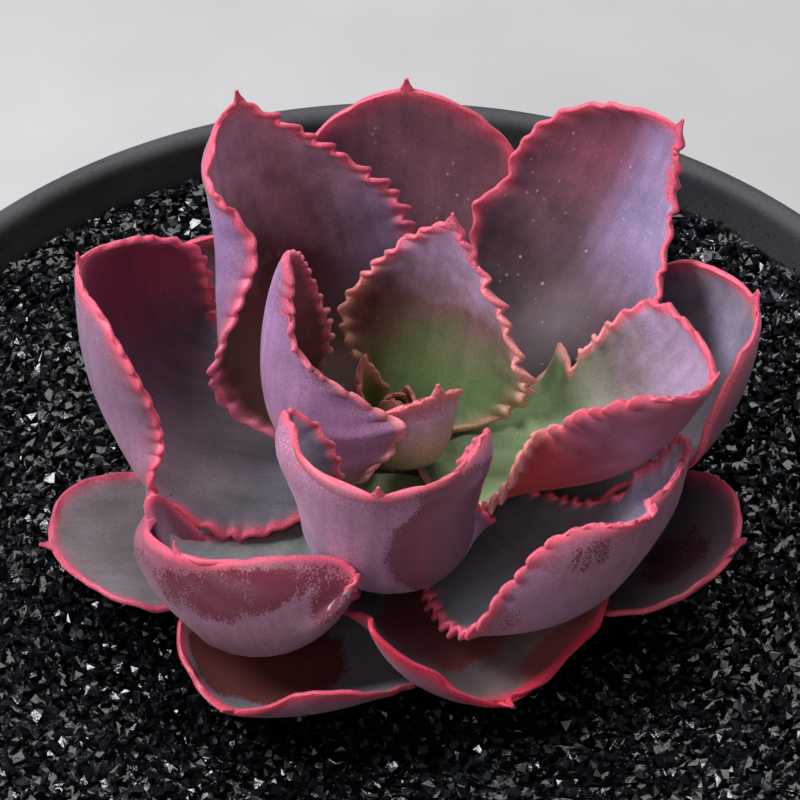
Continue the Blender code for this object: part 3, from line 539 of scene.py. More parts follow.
def fineLeaf(coarse, claw, tipLength, midribThickness, marginThickness, frill):
    leaf = coarse["leaf"]
    d = leafDetail
    t = np.linspace(0, 1, d["columns"] + 1)
    picks = np.round((1 - (1 - t)**d["crowding"]) * d["steps"]).astype(int)
    rows = d["rows"] if max(frill[0][0], frill[1][0]) > d["frilledFrom"] else d["plainRows"]
    pleats = (d["pleat"] * leaf["ripple"][0], leaf["ripple"][1])
    fine = leafSheet(leaf, rows, d["steps"], picks, pleats, claw, tipLength, fineTip,
                     (*frill, d["frillReach"]))
    side = picks / d["steps"]
    v = np.concatenate([-side[::-1], side[1:]])
    sheet = fine["sheet"]
    if "shift" in coarse:
        coarseV = np.linspace(-1, 1, coarse["sheet"].shape[1])
        sheet = sheet + spread(spread(coarse["shift"], coarse["run"], fine["run"]), coarseV, v, 1)
    s = fine["s"]
    half = halfThickness(s, fine["run"], np.abs(v), midribThickness, marginThickness)
    normal = sheetNormals(sheet)
    raised = s**d["keelRise"] * (1 - s**d["keelEnd"])
    keel = d["keel"] * np.exp(-(v / d["keelWidth"])**2) * raised[:, None]
    upper = sheet + normal * half[..., None]
    lower = sheet - normal * (half + keel)[..., None]
    angles = np.linspace(0, math.pi, d["beadSteps"] + 2)[1:-1]
    beads = []
    for column, inner, roll in ((-1, -2, angles), (0, 1, math.pi - angles)):
        out = sheet[:, column] - sheet[:, inner]
        out /= np.linalg.norm(out, axis=1)[:, None] + tiny
        bead = [sheet[:, column] + half[:, column, None] * (math.cos(a) * normal[:, column]
                + d["beadReach"] * math.sin(a) * out) for a in roll]
        beads.append(np.stack(bead, 1))
    ring = np.concatenate([upper, beads[0], lower[:, ::-1], beads[1]], 1)
    count = len(v)
    across = np.concatenate([v, np.ones(d["beadSteps"]), v[::-1], -np.ones(d["beadSteps"])])
    facing = np.concatenate([np.ones(count), np.cos(angles), -np.ones(count), -np.cos(angles)])
    width = np.where(across[None] > 0, fine["widths"][0][:, None], fine["widths"][1][:, None])
    rim = rimDistance(sheet, s, width, across)
    along = np.repeat(s[:, None], len(across), 1)
    facings = np.repeat(facing[None], len(s), 0)
    streak = np.stack([width * across[None], np.repeat(fine["ell"][:, None], len(across), 1), facings], 2)
    rub = rubbedPlaces(leaf.get("rubs", ()), along, across, facings)
    rows, around = ring.shape[:2]
    index = np.arange(rows * around).reshape(rows, around)
    nearby = np.roll(index, -1, 1)
    faces = np.stack([index[1:], nearby[1:], nearby[:-1], index[:-1]], 2).reshape(-1, 4).tolist()
    faces += [index[0].tolist(), index[-1][::-1].tolist()]
    values = dict(along=along.ravel(), facing=facings.ravel(), rimMm=rim.ravel(), rub=rub.ravel(),
                  streak=streak.reshape(-1, 3))
    return ring.reshape(-1, 3), faces, values


# Living leaf skin, a waxy cuticle under powdery bloom: soft pastel, with a bare red rim and
# darker glossy places where the bloom is rubbed off. Noises are (size in mm, detail, roughness)
# and run from one end of noiseSpan to the other.
skinLook = dict(
    mottle=(9.0, 4.0, 0.6), grain=(0.45, 2.0, 0.5), pepper=(0.6, 4.0, 0.75), relief=(0.35, 2.0, 0.5),
    noiseSpan=(0.3, 0.7), innerSpan=(-0.4, 0.4), unevenness=0.3, streakMm=2.2, streakSquash=0.07,
    streakLift=3.0, streakDetail=4.0,
    clouds=(0.78, 1.2), streaking=(0.88, 1.12), powder=(0.85, 1.15), wornRim=(0.7, 1.2),
    wax="#D9BCC8", waxDotMm=2.3, waxCells=(0.5, 0.75), waxRadius=(0.17, 0.09), blushReach=(0.5, 1.5),
    rubWeights=(("streaks", 0.4), ("mottle", 0.9), ("grain", 0.8)), rubbedAt=(1.46, 1.6), rubCover=0.9,
    fleckWeights=(("mottle", 0.5), ("grain", 0.9)), fleckAt=(0.98, 1.05), fleckCover=0.6, fleckZoneMm=16.0,
    pepperWeights=(("mottle", 0.35),), pepperAt=(0.7, 0.84), rimUneven=0.3, rimReach=(1.8, 0.4),
    rimCover=0.95, roughness=0.52, rubbedRoughness=0.2, rimRoughness=0.4, streakRelief=1.5, bump=0.35,
    bumpMm=0.05, ior=1.42, sheen=0.1, sheenRoughness=0.5, subsurface=0.15, subsurfaceMm=1.5,
    subsurfaceTint=(1.0, 0.4, 0.35))

# A leaf's own look: three colours from base to tip for each face, then the rim's colour at
# the tip and at the base. Widths are in mm. paintedSideTone is painted on one side of the inner face,
# starting at paintedSideFrom mm across: painted light where that side faces the lamp, painted shade where it
# is turned away.
plainSkin = dict(
    inner=("#74756C", "#7C6A76", "#86606F"), outer=("#9A7C9C", "#A87FA4", "#B583A2"), rim="#F4667F",
    rimLow="#F4667F", rubbed="#64201F", fleck="#93404F", paintedSideTone="#A99AC4", turnAt=(0.2, 0.85), rimMm=1.15,
    blushMm=5.0, blush=0.5, speckle=0.15, flecks=0.4, pepper=0.4, paintedSideFrom=(-90.0, -91.0),
    paintedSideAlong=(1.3, 1.2), paintedSideShare=0.7)


# What the skin reads from the mesh, and its noises
def skinReadings(tree):
    d = skinLook
    read = {key: addNode(tree, "Attribute", {"attribute_name": key}, out="Fac")
            for key in ("along", "facing", "rimMm", "rub")}
    read["streak"] = addNode(tree, "Attribute", {"attribute_name": "streak"}, out="Vector")
    read["place"] = addNode(tree, "TexCoord", out="Object")
    for key in ("mottle", "grain", "pepper", "relief"):
        sizeMm, detail, roughness = d[key]
        read[key] = addNode(tree, "TexNoise", links={"Vector": read["place"], "Scale": perMetre(sizeMm),
                                                     "Detail": detail, "Roughness": roughness})
    squash = (1 / d["streakMm"], d["streakSquash"] / d["streakMm"], d["streakLift"])
    stretched = addNode(tree, "VectorMath", product, (read["streak"], squash))
    read["streaks"] = addNode(tree, "TexNoise", links={"Vector": stretched, "Scale": 1.0,
                                                       "Detail": d["streakDetail"]})
    read["uneven"] = addNode(tree, "Math", weightedSum, (read["mottle"], d["unevenness"], read["along"]))
    outer, inner = d["innerSpan"]
    read["isInner"] = addNode(tree, "MapRange", links=(read["facing"], outer, inner, 0.0, 1.0))
    return read


# Both faces' colours, with one side of the inner face tinted as painted light on some leaves and
# painted shade on others, then uneven in broad clouds, lengthwise streaks and powder
def tonesWithPaintedSide(tree, read, look, places):
    d = skinLook
    low, high = d["noiseSpan"]
    inner, outer = [addNode(tree, "ValToRGB", toneStops(zip(places, look[side])), {"Fac": read["uneven"]})
                    for side in ("inner", "outer")]
    skin = addNode(tree, "Mix", mixing, {0: read["isInner"], 6: outer, 7: inner}, out=2)
    # Painted light or shade on one side of the inner face: a lighter lavender where that side faces the lamp,
    # a dark brown where it is curled away into shade
    sideways = addNode(tree, "SeparateXYZ", links={"Vector": read["streak"]})
    start, full = look["paintedSideFrom"]
    sided = addNode(tree, "MapRange", smoothly, (sideways, start, full, 0.0, look["paintedSideShare"]))
    start, full = look["paintedSideAlong"]
    reaching = addNode(tree, "MapRange", smoothly, (read["along"], start, full, 0.0, 1.0))
    for part in (read["isInner"], reaching):
        sided = addNode(tree, "Math", product, (sided, part))
    skin = addNode(tree, "Mix", mixing, {0: sided, 6: skin, 7: linearColour(look["paintedSideTone"])}, out=2)
    for noise, shades in (("mottle", "clouds"), ("streaks", "streaking"), ("grain", "powder")):
        least, most = d[shades]
        light = addNode(tree, "MapRange", links=(read[noise], low, high, least, most))
        skin = addNode(tree, "Mix", darkening, {0: 1.0, 6: skin, 7: light}, out=2)
    return skin


# Pale dots of wax, in some of the cells only
def waxDots(tree, read, share):
    (few, many), (edge, middle) = skinLook["waxCells"], skinLook["waxRadius"]
    size = perMetre(skinLook["waxDotMm"])
    dots = addNode(tree, "TexVoronoi", links={"Vector": read["place"], "Scale": size})
    cell = dots.node.outputs["Color"]
    chosen = addNode(tree, "MapRange", links=(cell, few, many, 0.0, share))
    return addNode(tree, "MapRange", links=(dots, edge, middle, 0.0, chosen))


# The rim's worn red, where the bare rim is, and a blush towards it of uneven reach
def rimAndBlush(tree, read, look, places):
    d = skinLook
    low, high = d["noiseSpan"]
    rimTones = ((places[0], look["rimLow"]), (places[2], look["rim"]))
    red = addNode(tree, "ValToRGB", toneStops(rimTones), {"Fac": read["uneven"]})
    least, most = d["wornRim"]
    worn = addNode(tree, "MapRange", links=(read["grain"], low, high, least, most))
    red = addNode(tree, "Mix", darkening, {0: 1.0, 6: red, 7: worn}, out=2)
    least, most = [share * look["blushMm"] for share in d["blushReach"]]
    reach = addNode(tree, "MapRange", links=(read["mottle"], low, high, least, most))
    blush = addNode(tree, "MapRange", smoothly, (read["rimMm"], reach, 0.0, 0.0, look["blush"]))
    offset = addNode(tree, "MapRange", links=(read["grain"], low, high, -d["rimUneven"], d["rimUneven"]))
    rimAt = addNode(tree, "Math", {"operation": "ADD"}, (read["rimMm"], offset))
    start, full = [share * look["rimMm"] for share in d["rimReach"]]
    onRim = addNode(tree, "MapRange", smoothly, (rimAt, start, full, 0.0, d["rimCover"]))
    return red, blush, onRim


# Bloom rubbed off in ragged streaky patches, and on the outer face in flecks near the margin
# and in fine pepper
def rubbedAndFlecked(tree, read, look):
    d = skinLook
    zone = addNode(tree, "MapRange", links=(read["rimMm"], d["fleckZoneMm"], 0.0, 0.0, look["flecks"]))
    covers = []
    for base, weights, (start, full), most in (
            (read["rub"], d["rubWeights"], d["rubbedAt"], d["rubCover"]),
            (zone, d["fleckWeights"], d["fleckAt"], d["fleckCover"]),
            (read["pepper"], d["pepperWeights"], d["pepperAt"], look["pepper"])):
        for noise, weight in weights:
            base = addNode(tree, "Math", weightedSum, (read[noise], weight, base))
        covers.append(addNode(tree, "MapRange", links=(base, start, full, 0.0, most)))
    rubbed, fleck, pepper = covers
    spots = addNode(tree, "Math", {"operation": "MAXIMUM"}, (fleck, pepper))
    isOuter = addNode(tree, "Math", {"operation": "SUBTRACT"}, (1.0, read["isInner"]))
    return rubbed, addNode(tree, "Math", product, (spots, isOuter))


def makeLeafSkin(name, changes):
    d = skinLook
    look = {**plainSkin, **changes}
    material, tree = newTree(name)
    read = skinReadings(tree)
    early, late = look["turnAt"]
    places = [at + d["unevenness"] / 2 for at in (early, (early + late) / 2, late)]
    skin = tonesWithPaintedSide(tree, read, look, places)
    dots = waxDots(tree, read, look["speckle"])
    red, blush, onRim = rimAndBlush(tree, read, look, places)
    rubbed, spots = rubbedAndFlecked(tree, read, look)
    covers = ((dots, linearColour(d["wax"])), (blush, red), (spots, linearColour(look["fleck"])),
              (rubbed, linearColour(look["rubbed"])), (onRim, red))
    for cover, tone in covers:
        skin = addNode(tree, "Mix", mixing, {0: cover, 6: skin, 7: tone}, out=2)
    rough = addNode(tree, "MapRange", links=(rubbed, 0.0, 1.0, d["roughness"], d["rubbedRoughness"]))
    rough = addNode(tree, "Mix", {"data_type": "FLOAT"}, {0: onRim, 2: rough, 3: d["rimRoughness"]})
    relief = addNode(tree, "Math", weightedSum, (read["streaks"], d["streakRelief"], read["relief"]))
    bump = addNode(tree, "Bump", links={"Strength": d["bump"], "Distance": d["bumpMm"] * mm,
                                        "Height": relief})
    shader = addNode(tree, "BsdfPrincipled", links={
        "Base Color": skin, "Roughness": rough, "IOR": d["ior"], "Normal": bump, "Sheen Weight": d["sheen"],
        "Sheen Roughness": d["sheenRoughness"], "Subsurface Weight": d["subsurface"],
        "Subsurface Radius": d["subsurfaceTint"], "Subsurface Scale": d["subsurfaceMm"] * mm})
    addNode(tree, "OutputMaterial", links={"Surface": shader})
    return material


# Which skin each leaf wears, by node; rubs are (face, along, across, length, breadth, strength)
leafSkins = {
    "leaf_01": dict(inner=("#5E7A3A", "#75803F", "#8B8754"), outer=("#6F7F45", "#8A7F50", "#A57F62"),
        rim="#D98578", rimLow="#9A9A5A", rimMm=0.7, blushMm=3.0),
    "leaf_02": dict(inner=("#7D8048", "#9A8474", "#B78BA6"), outer=("#84804A", "#C4A08C", "#DEB2C8"),
        rim="#EE7F86", rimLow="#D9A184", rimMm=1.0),
    "leaf_03": dict(inner=("#6E8A52", "#7C5A58", "#C0A0C4"), outer=("#8A8460", "#A0827E", "#B67F9A"),
        # dark brown painted shade on the curled-away half of the inner face, near its base
        rim="#F4728A", rimLow="#E3B08E", turnAt=(0.26, 0.9), paintedSideTone="#52180F", paintedSideFrom=(2.0, 20.0),
        paintedSideAlong=(0.78, 0.5), paintedSideShare=0.85),
    "leaf_04": dict(inner=("#7A5E50", "#8E5A5C", "#A8586A"), outer=("#B27890", "#B384AC", "#B68FBE"),
        rim="#F4708A", rimLow="#E8A096", rubs=((-1, 0.62, -0.35, 0.02, 0.3, 0.8),), rubbed="#B0605A",
        blushMm=2.5),
    "leaf_05": dict(inner=("#7D9468", "#8C7A7A", "#AC92AE"), outer=("#DA3000", "#9E3C44", "#9A5C78"),
        rim="#F0647A", rimLow="#F0A596", turnAt=(0.32, 0.9), blushMm=3.5, blush=0.38),
    # the inner face's dark red-brown base and middle: partly the leaf's own red, partly painted shade under
    # its curled strip
    "leaf_06": dict(inner=("#4E3429", "#5A2420", "#CC96AC"), outer=("#9A7F9C", "#A27FA6", "#A98CBC"),
        # lavender painted light on the strip of the inner face turned to the lamp
        rimLow="#E88098", paintedSideFrom=(-4.0, -28.0), paintedSideShare=0.5),
    "leaf_07": dict(inner=("#7E8A5E", "#8C8A84", "#A894A8"), outer=("#94708E", "#BC98BC", "#C090B2"),
        rim="#F46C80", rimMm=0.85, blushMm=2.6, rubs=((-1, 0.74, 0.5, 0.28, 0.55, 2.2),),
        rubbed="#864A5E"),
    "leaf_08": dict(inner=("#463238", "#6A4A56", "#905266"), outer=("#8B7A90", "#957B92", "#9F7C94"),
        # lavender painted light on the side of the inner face turned to the lamp
        speckle=0.7, paintedSideFrom=(13.0, 0.0), turnAt=(0.4, 0.85), paintedSideAlong=(0.5, 0.75), paintedSideShare=0.8,
        blushMm=4.0),
    "leaf_09": dict(inner=("#7E7C86", "#866C7C", "#92344A"), outer=("#A884A2", "#AC8098", "#A07E9C"),
        blushMm=4.0),
    "leaf_10": dict(inner=("#6C766C", "#6C6C7A", "#CCC0DC"), outer=("#BC9CB6", "#C09AB8", "#B8829F"),
        rubbed="#7A3444", blushMm=4.0,
        rubs=((-1, 0.9, -0.5, 0.09, 0.35, 0.5), (-1, 0.7, -0.8, 0.2, 0.12, 0.4))),
    "leaf_11": dict(inner=("#524248", "#725259", "#8A5C68"), outer=("#8A6F80", "#8F7080", "#94707F"),
        speckle=0.7),
    "leaf_12": dict(inner=("#7E8A80", "#9C98A0", "#A098A2"), outer=("#9A7C9A", "#A47C94", "#A8788F"),
        rubbed="#722A38", flecks=0.45,
        rubs=((-1, 0.9, 0.3, 0.12, 0.9, 0.66), (-1, 0.76, 0.78, 0.2, 0.3, 0.66),
              (-1, 0.93, -0.4, 0.07, 0.5, 0.5))),
    "leaf_13": dict(inner=("#707C74", "#86848C", "#94889A"), outer=("#8A7890", "#8C6A80", "#985E78")),
    "leaf_14": dict(inner=("#66705E", "#7A6A66", "#84686A"), outer=("#87757F", "#90747F", "#99737F"),
        rubs=((1, 0.7, 0.0, 0.3, 0.6, 0.4),)),
    "leaf_15": dict(inner=("#66706A", "#6E7278", "#74605E"), outer=("#A68CA6", "#AE8CA8", "#B68EAA"),
        rim="#E63A56", rimMm=1.3, rubbed="#864040",
        rubs=((1, 0.55, -0.1, 0.27, 0.75, 1.3), (1, 0.9, 0.6, 0.14, 0.5, 1.1),
              (-1, 0.88, -0.4, 0.08, 0.4, 0.45))),
    "leaf_16": dict(inner=("#66705E", "#72756C", "#7C7A78"), outer=("#857480", "#907280", "#98727F")),
    "leaf_17": dict(inner=("#687264", "#6C6866", "#7E7678"), outer=("#867686", "#927484", "#9B7284"),
        rubs=((1, 0.75, 0.1, 0.3, 0.6, 0.35),), rim="#D25870", rimMm=0.9, blushMm=3.5),
    "leaf_18": dict(inner=("#5F6862", "#625C64", "#5E4C58"), outer=("#80707F", "#8A6C7E", "#94687C"),
        rubs=((1, 0.8, 0.0, 0.2, 0.7, 0.6),), rubbed="#4A1A20", rim="#E0566E", rimMm=0.9, blushMm=3.5),
    "leaf_19": dict(inner=("#66705E", "#72756C", "#7A7A78"), outer=("#857480", "#907280", "#98727F")),
    "leaf_20": dict(inner=("#66706A", "#6C6E76", "#6E6C74"), outer=("#A48CA8", "#AA86A1", "#B4829F"),
        rim="#DC5068", rimMm=1.0, blushMm=3.5,
        rubs=((1, 0.7, -0.1, 0.26, 0.6, 1.5), (1, 0.8, -0.45, 0.2, 0.55, 1.4)), rubbed="#5C2010"),
    "heart": dict(inner=("#5E7A3A", "#7E8650", "#A08E68"), outer=("#768050", "#A08A62", "#C4957F"),
        rim="#E08C86", rimLow="#A8945A", rimMm=0.35, blushMm=1.5, flecks=0.0)}


def makeLeaves():
    coarse = [coarseSheet({**plainLeaf, **shape, "order": order})
              for order, shape in enumerate(leafShapes, rosette["firstOrder"])]
    settle(coarse)
    print("leaves settled")
    for number, item in enumerate(coarse, 1):
        node = "leaf_%02d" % number
        item["leaf"]["rubs"] = leafSkins[node].get("rubs", ())
        frill = frills.get(node, (leafDetail["faintFrill"],) * 2)
        points, faces, values = fineLeaf(item, rosette["claw"], rosette["tipLength"],
                                         rosette["midribThickness"], rosette["marginThickness"], frill)
        skin = makeLeafSkin("leafSkin%02d" % number, leafSkins[node])
        addPiece("frilledLeaf%02d" % number, node, points, faces, skin, rosette["height"], values)


# The heart: a bud with its three smallest leaves, as (order, base, path, half width)
heartShape = dict(
    seat=14.95, crown=8.9, budSides=32, tipAt=9.0, insideMm=20.0, claw=1.3, tipLength=0.8, thickness=1.0,
    marginShare=0.8, cup=(60, 80, 80, 60, 30), ripple=(0, 6), frill=(0.25, 3),
    budProfile=((2.9, 0.0), (3.15, 1.0), (3.2, 2.2), (3.0, 3.8), (2.5, 5.2), (1.9, 6.6), (1.2, 7.8),
                (0.5, 8.5)),
    leaves=((-5, (1.4, 16.0), ((4.5, 18), (4.6, 21), (3.0, 25.5)), 3.6),
            (-6, (1.2, 17.0), ((3.6, 19), (3.6, 22), (1.9, 25)), 2.8),
            (-7, (1.0, 18.0), ((2.8, 20), (2.6, 22.5), (1.2, 24.5)), 2.2)))


# Points and faces of an outline of (radius, height) turned round the Z axis
def turned(outline, sides, closed=True):
    points, rings = [], []
    for radius, level in outline:
        if radius == 0:
            rings.append([len(points)] * sides)
            points.append((0, 0, level))
            continue
        rings.append([len(points) + k for k in range(sides)])
        for k in range(sides):
            angle = 2 * math.pi * k / sides
            points.append((radius * math.cos(angle), radius * math.sin(angle), level))
    faces = []
    pairs = list(zip(rings, rings[1:] + (rings[:1] if closed else [])))
    for ring, following in pairs:
        for k in range(sides):
            near = (k + 1) % sides
            corners = tuple(dict.fromkeys((ring[k], ring[near], following[near], following[k])))
            if len(corners) > 2:
                faces.append(corners[::-1])
    return points, faces


def makeHeart():
    skin = makeLeafSkin("heartSkin", leafSkins["heart"])
    d = heartShape
    profile = [(0, 0.0), *d["budProfile"], (0, d["crown"])]
    points, faces = turned(profile, d["budSides"], closed=False)
    points = np.array(points) + (0, 0, d["seat"])
    count = len(points)
    values = dict(along=np.clip((points[:, 2] - d["seat"]) / d["tipAt"], 0, 1), facing=-np.ones(count),
                  rimMm=np.full(count, d["insideMm"]), rub=np.zeros(count), streak=points.copy())
    addPiece("heartBud", "heart", points, faces, skin, rosette["height"], values)
    for number, (order, base, path, halfWidth) in enumerate(d["leaves"], 1):
        leaf = {**plainLeaf, "order": order, "base": base, "path": path, "ripple": d["ripple"],
                "halfWidths": (halfWidth, halfWidth), "cup": (d["cup"], d["cup"])}
        points, faces, values = fineLeaf(dict(leaf=leaf), d["claw"], d["tipLength"], d["thickness"],
                                         d["thickness"] * d["marginShare"], (d["frill"], d["frill"]))
        addPiece("heartLeaf%d" % number, "heart", points, faces, skin, rosette["height"], values)


# The gravel bed: loose grains in two depths, a little higher towards the pot's wall
gravelBed = dict(
    top=77.0, depth=12.0, radius=120.0, hole=7.2, mound=1.5, moundFrom=80.0, moundOver=15.0,
    spacing=2.8, jitter=0.75, underShare=0.5, size=(2.6, 4.9), edgeGap=0.45, holeGap=0.5, sink=0.42,
    underDrop=(1.4, 2.6), topDrop=(0.1, 1.3), stretch=((0.8, 0.7, 0.55), (1.15, 1.0, 0.85)), squash=0.85,
    prototypes=40, corners=9, cornerReach=(0.75, 1.0), pieces=2, seed=5)

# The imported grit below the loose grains
packedGrit = dict(
    drop=3.4, rise=0.5, risesAbove=5.0, inset=0.8, footInset=4.0, rings=60, sides=180, paleUpTo=0.6)

# Black volcanic glass, crushed: sharp glossy splinters, a few of them grey or pale. Its noises
# are (size in mm, detail).
crushedGlass = dict(
    tones=((0.0, "#030406"), (0.7, "#090B0F"), (0.92, "#12161B"), (0.985, "#20262D"), (0.997, "#4A545A"),
           (1.0, "#7C8282")),
    frost=(1.1, 3.0), frostAt=(0.35, 0.7), roughness=(0.06, 0.3), chips=(1.0, 2.0), bump=0.6, bumpMm=0.2,
    ior=1.5)


def makeGlassGravel():
    d = crushedGlass
    material, tree = newTree("crushedBlackGlass")
    place = addNode(tree, "TexCoord", out="Object")
    kind = addNode(tree, "Attribute", {"attribute_name": "grain"}, out="Fac")
    tone = addNode(tree, "ValToRGB", toneStops(d["tones"]), {"Fac": kind})
    frost, chips = [
        addNode(tree, "TexNoise", links={"Vector": place, "Scale": perMetre(sizeMm), "Detail": detail})
        for sizeMm, detail in (d["frost"], d["chips"])]
    (start, full), (glossy, frosted) = d["frostAt"], d["roughness"]
    rough = addNode(tree, "MapRange", links=(frost, start, full, glossy, frosted))
    bump = addNode(tree, "Bump", links={"Strength": d["bump"], "Distance": d["bumpMm"] * mm, "Height": chips})
    shader = addNode(tree, "BsdfPrincipled", links={"Base Color": tone, "Roughness": rough, "IOR": d["ior"],
                                                    "Normal": bump})
    addNode(tree, "OutputMaterial", links={"Surface": shader})
    return material


def grainPrototypes(draw):
    shapes = []
    for _ in range(gravelBed["prototypes"]):
        shape = bmesh.new()
        directions = draw.normal(size=(gravelBed["corners"], 3))
        directions /= np.linalg.norm(directions, axis=1)[:, None]
        reach = draw.uniform(*gravelBed["cornerReach"], (gravelBed["corners"], 1))
        for point in directions * reach / 2:
            shape.verts.new(point)
        bmesh.ops.convex_hull(shape, input=shape.verts)
        loose = [v for v in shape.verts if not v.link_faces]
        bmesh.ops.delete(shape, geom=loose, context="VERTS")
        bmesh.ops.recalc_face_normals(shape, faces=shape.faces)
        shape.verts.index_update()
        corners = np.array([v.co for v in shape.verts])
        triangles = np.array([[v.index for v in face.verts] for face in shape.faces])
        shapes.append((corners, triangles))
        shape.free()
    return shapes


def bedLevel(radius):
    bed = gravelBed
    return bed["top"] + bed["mound"] * np.clip((radius - bed["moundFrom"]) / bed["moundOver"], 0, 1)


def makeGravel():
    bed = gravelBed
    draw = np.random.default_rng(bed["seed"])
    shapes = grainPrototypes(draw)
    spots = []
    rowStep = bed["spacing"] * math.sqrt(3) / 2
    count = int(bed["radius"] / rowStep)
    for row in range(-count, count + 1):
        for column in range(-count - 1, count + 2):
            spots.append(((column + 0.5 * (row % 2)) * bed["spacing"], row * rowStep))
    spots = np.array(spots) + draw.uniform(-bed["jitter"], bed["jitter"], (len(spots), 2))
    under = spots[draw.random(len(spots)) < bed["underShare"]] + bed["spacing"] / 2
    every = np.vstack([spots, under])
    isUnder = np.arange(len(every)) >= len(spots)
    radius = np.hypot(every[:, 0], every[:, 1])
    size = draw.uniform(*bed["size"], len(every))
    keep = radius + size * bed["edgeGap"] < bed["radius"]
    keep &= radius - size * bed["holeGap"] > bed["hole"]
    every, isUnder, radius, size = every[keep], isUnder[keep], radius[keep], size[keep]
    underDrop = draw.uniform(*bed["underDrop"], len(every))
    topDrop = draw.uniform(*bed["topDrop"], len(every))
    level = bedLevel(radius) - size * bed["sink"] - np.where(isUnder, underDrop, topDrop)
    material = makeGlassGravel()
    shares = np.array_split(draw.permutation(len(every)), bed["pieces"])
    for number, share in enumerate(shares, 1):
        points, faces, tones, start = [], [], [], 0
        for k in share:
            corners, triangles = shapes[draw.integers(len(shapes))]
            turn, _ = np.linalg.qr(draw.normal(size=(3, 3)))
            if np.linalg.det(turn) < 0:
                turn[:, 0] = -turn[:, 0]
            stretch = size[k] * draw.uniform(*bed["stretch"])
            placed = (corners * stretch) @ turn.T
            placed = placed * (1, 1, bed["squash"]) + (every[k, 0], every[k, 1], level[k])
            points.append(placed)
            faces.append(triangles + start)
            tones.append(np.full(len(placed), draw.random()))
            start += len(placed)
        addPiece("gravelGrains%d" % number, "gravel", np.vstack(points), np.vstack(faces).tolist(), material,
                 values=dict(grain=np.concatenate(tones)), smooth=False)
    print("gravel:", len(every), "grains")
    packed = packedGrit
    foot = bed["top"] - bed["depth"]
    outline = [(bed["hole"], foot), (bed["radius"] - packed["footInset"], foot)]
    for radius in np.linspace(bed["radius"] - packed["inset"], bed["hole"], packed["rings"]):
        outline.append((radius, float(bedLevel(radius)) - packed["drop"]))
    points, faces = turned(outline, packed["sides"])
    points = np.array(points)
    rise = draw.uniform(-packed["rise"], packed["rise"], len(points))
    points[:, 2] += (points[:, 2] > bed["top"] - packed["risesAbove"]) * rise
    addPiece("packedGrit", "gravel", points, faces, material,
             values=dict(grain=draw.random(len(points)) * packed["paleUpTo"]), smooth=False)


# Unglazed charcoal stoneware, thrown on a wheel: matt and slightly sandy, with faint rings. Its
# noises are (size in mm, detail).
stoneware = dict(
    sand=(0.5, 3.0), cloud=(30.0, 4.0), tones=((0.3, "#343436"), (0.7, "#4A4A4C")),
    ironMm=4.0, ironRadius=(0.16, 0.09), ironCover=0.7, iron="#1E1C1B",
    dustAt=(0.45, 0.75), dustCover=0.35, dust="#6C6A68",
    roughnessAt=(0.3, 0.7), roughness=(0.62, 0.78), bump=0.5, bumpMm=0.15)


def makeStoneware():
    d = stoneware
    material, tree = newTree("charcoalStoneware")
    place = addNode(tree, "TexCoord", out="Object")
    sand, cloud = [
        addNode(tree, "TexNoise", links={"Vector": place, "Scale": perMetre(sizeMm), "Detail": detail})
        for sizeMm, detail in (d["sand"], d["cloud"])]
    spots = addNode(tree, "TexVoronoi", links={"Vector": place, "Scale": perMetre(d["ironMm"])})
    tone = addNode(tree, "ValToRGB", toneStops(d["tones"]), {"Fac": cloud})
    covers = ((spots, d["ironRadius"], d["ironCover"], d["iron"]),
              (sand, d["dustAt"], d["dustCover"], d["dust"]))
    for pattern, (start, full), most, over in covers:
        cover = addNode(tree, "MapRange", links=(pattern, start, full, 0.0, most))
        tone = addNode(tree, "Mix", mixing, {0: cover, 6: tone, 7: linearColour(over)}, out=2)
    (start, full), (smoothest, roughest) = d["roughnessAt"], d["roughness"]
    rough = addNode(tree, "MapRange", links=(cloud, start, full, smoothest, roughest))
    bump = addNode(tree, "Bump", links={"Strength": d["bump"], "Distance": d["bumpMm"] * mm, "Height": sand})
    shader = addNode(tree, "BsdfPrincipled", links={"Base Color": tone, "Roughness": rough, "Normal": bump})
    addNode(tree, "OutputMaterial", links={"Surface": shader})
    return material


# The bowl follows the CAD pot: an inside wall, a rounded lip, a ringed outside and a foot
potShape = dict(
    sides=192, wall=6.0, footRadius=62.0, footWidth=10.0, footHeight=4.0, footRound=0.8, footCove=(0.4, 2.0),
    floorThickness=6.0, drainRadius=7.0, fullness=0.62, rises=(0.03, 0.98), stations=34,
    outside=(0.75, 0.7), outsideFrom=3.0, lipRise=3.0, lipSteps=9, ringMm=3.2, ringDepth=0.12)


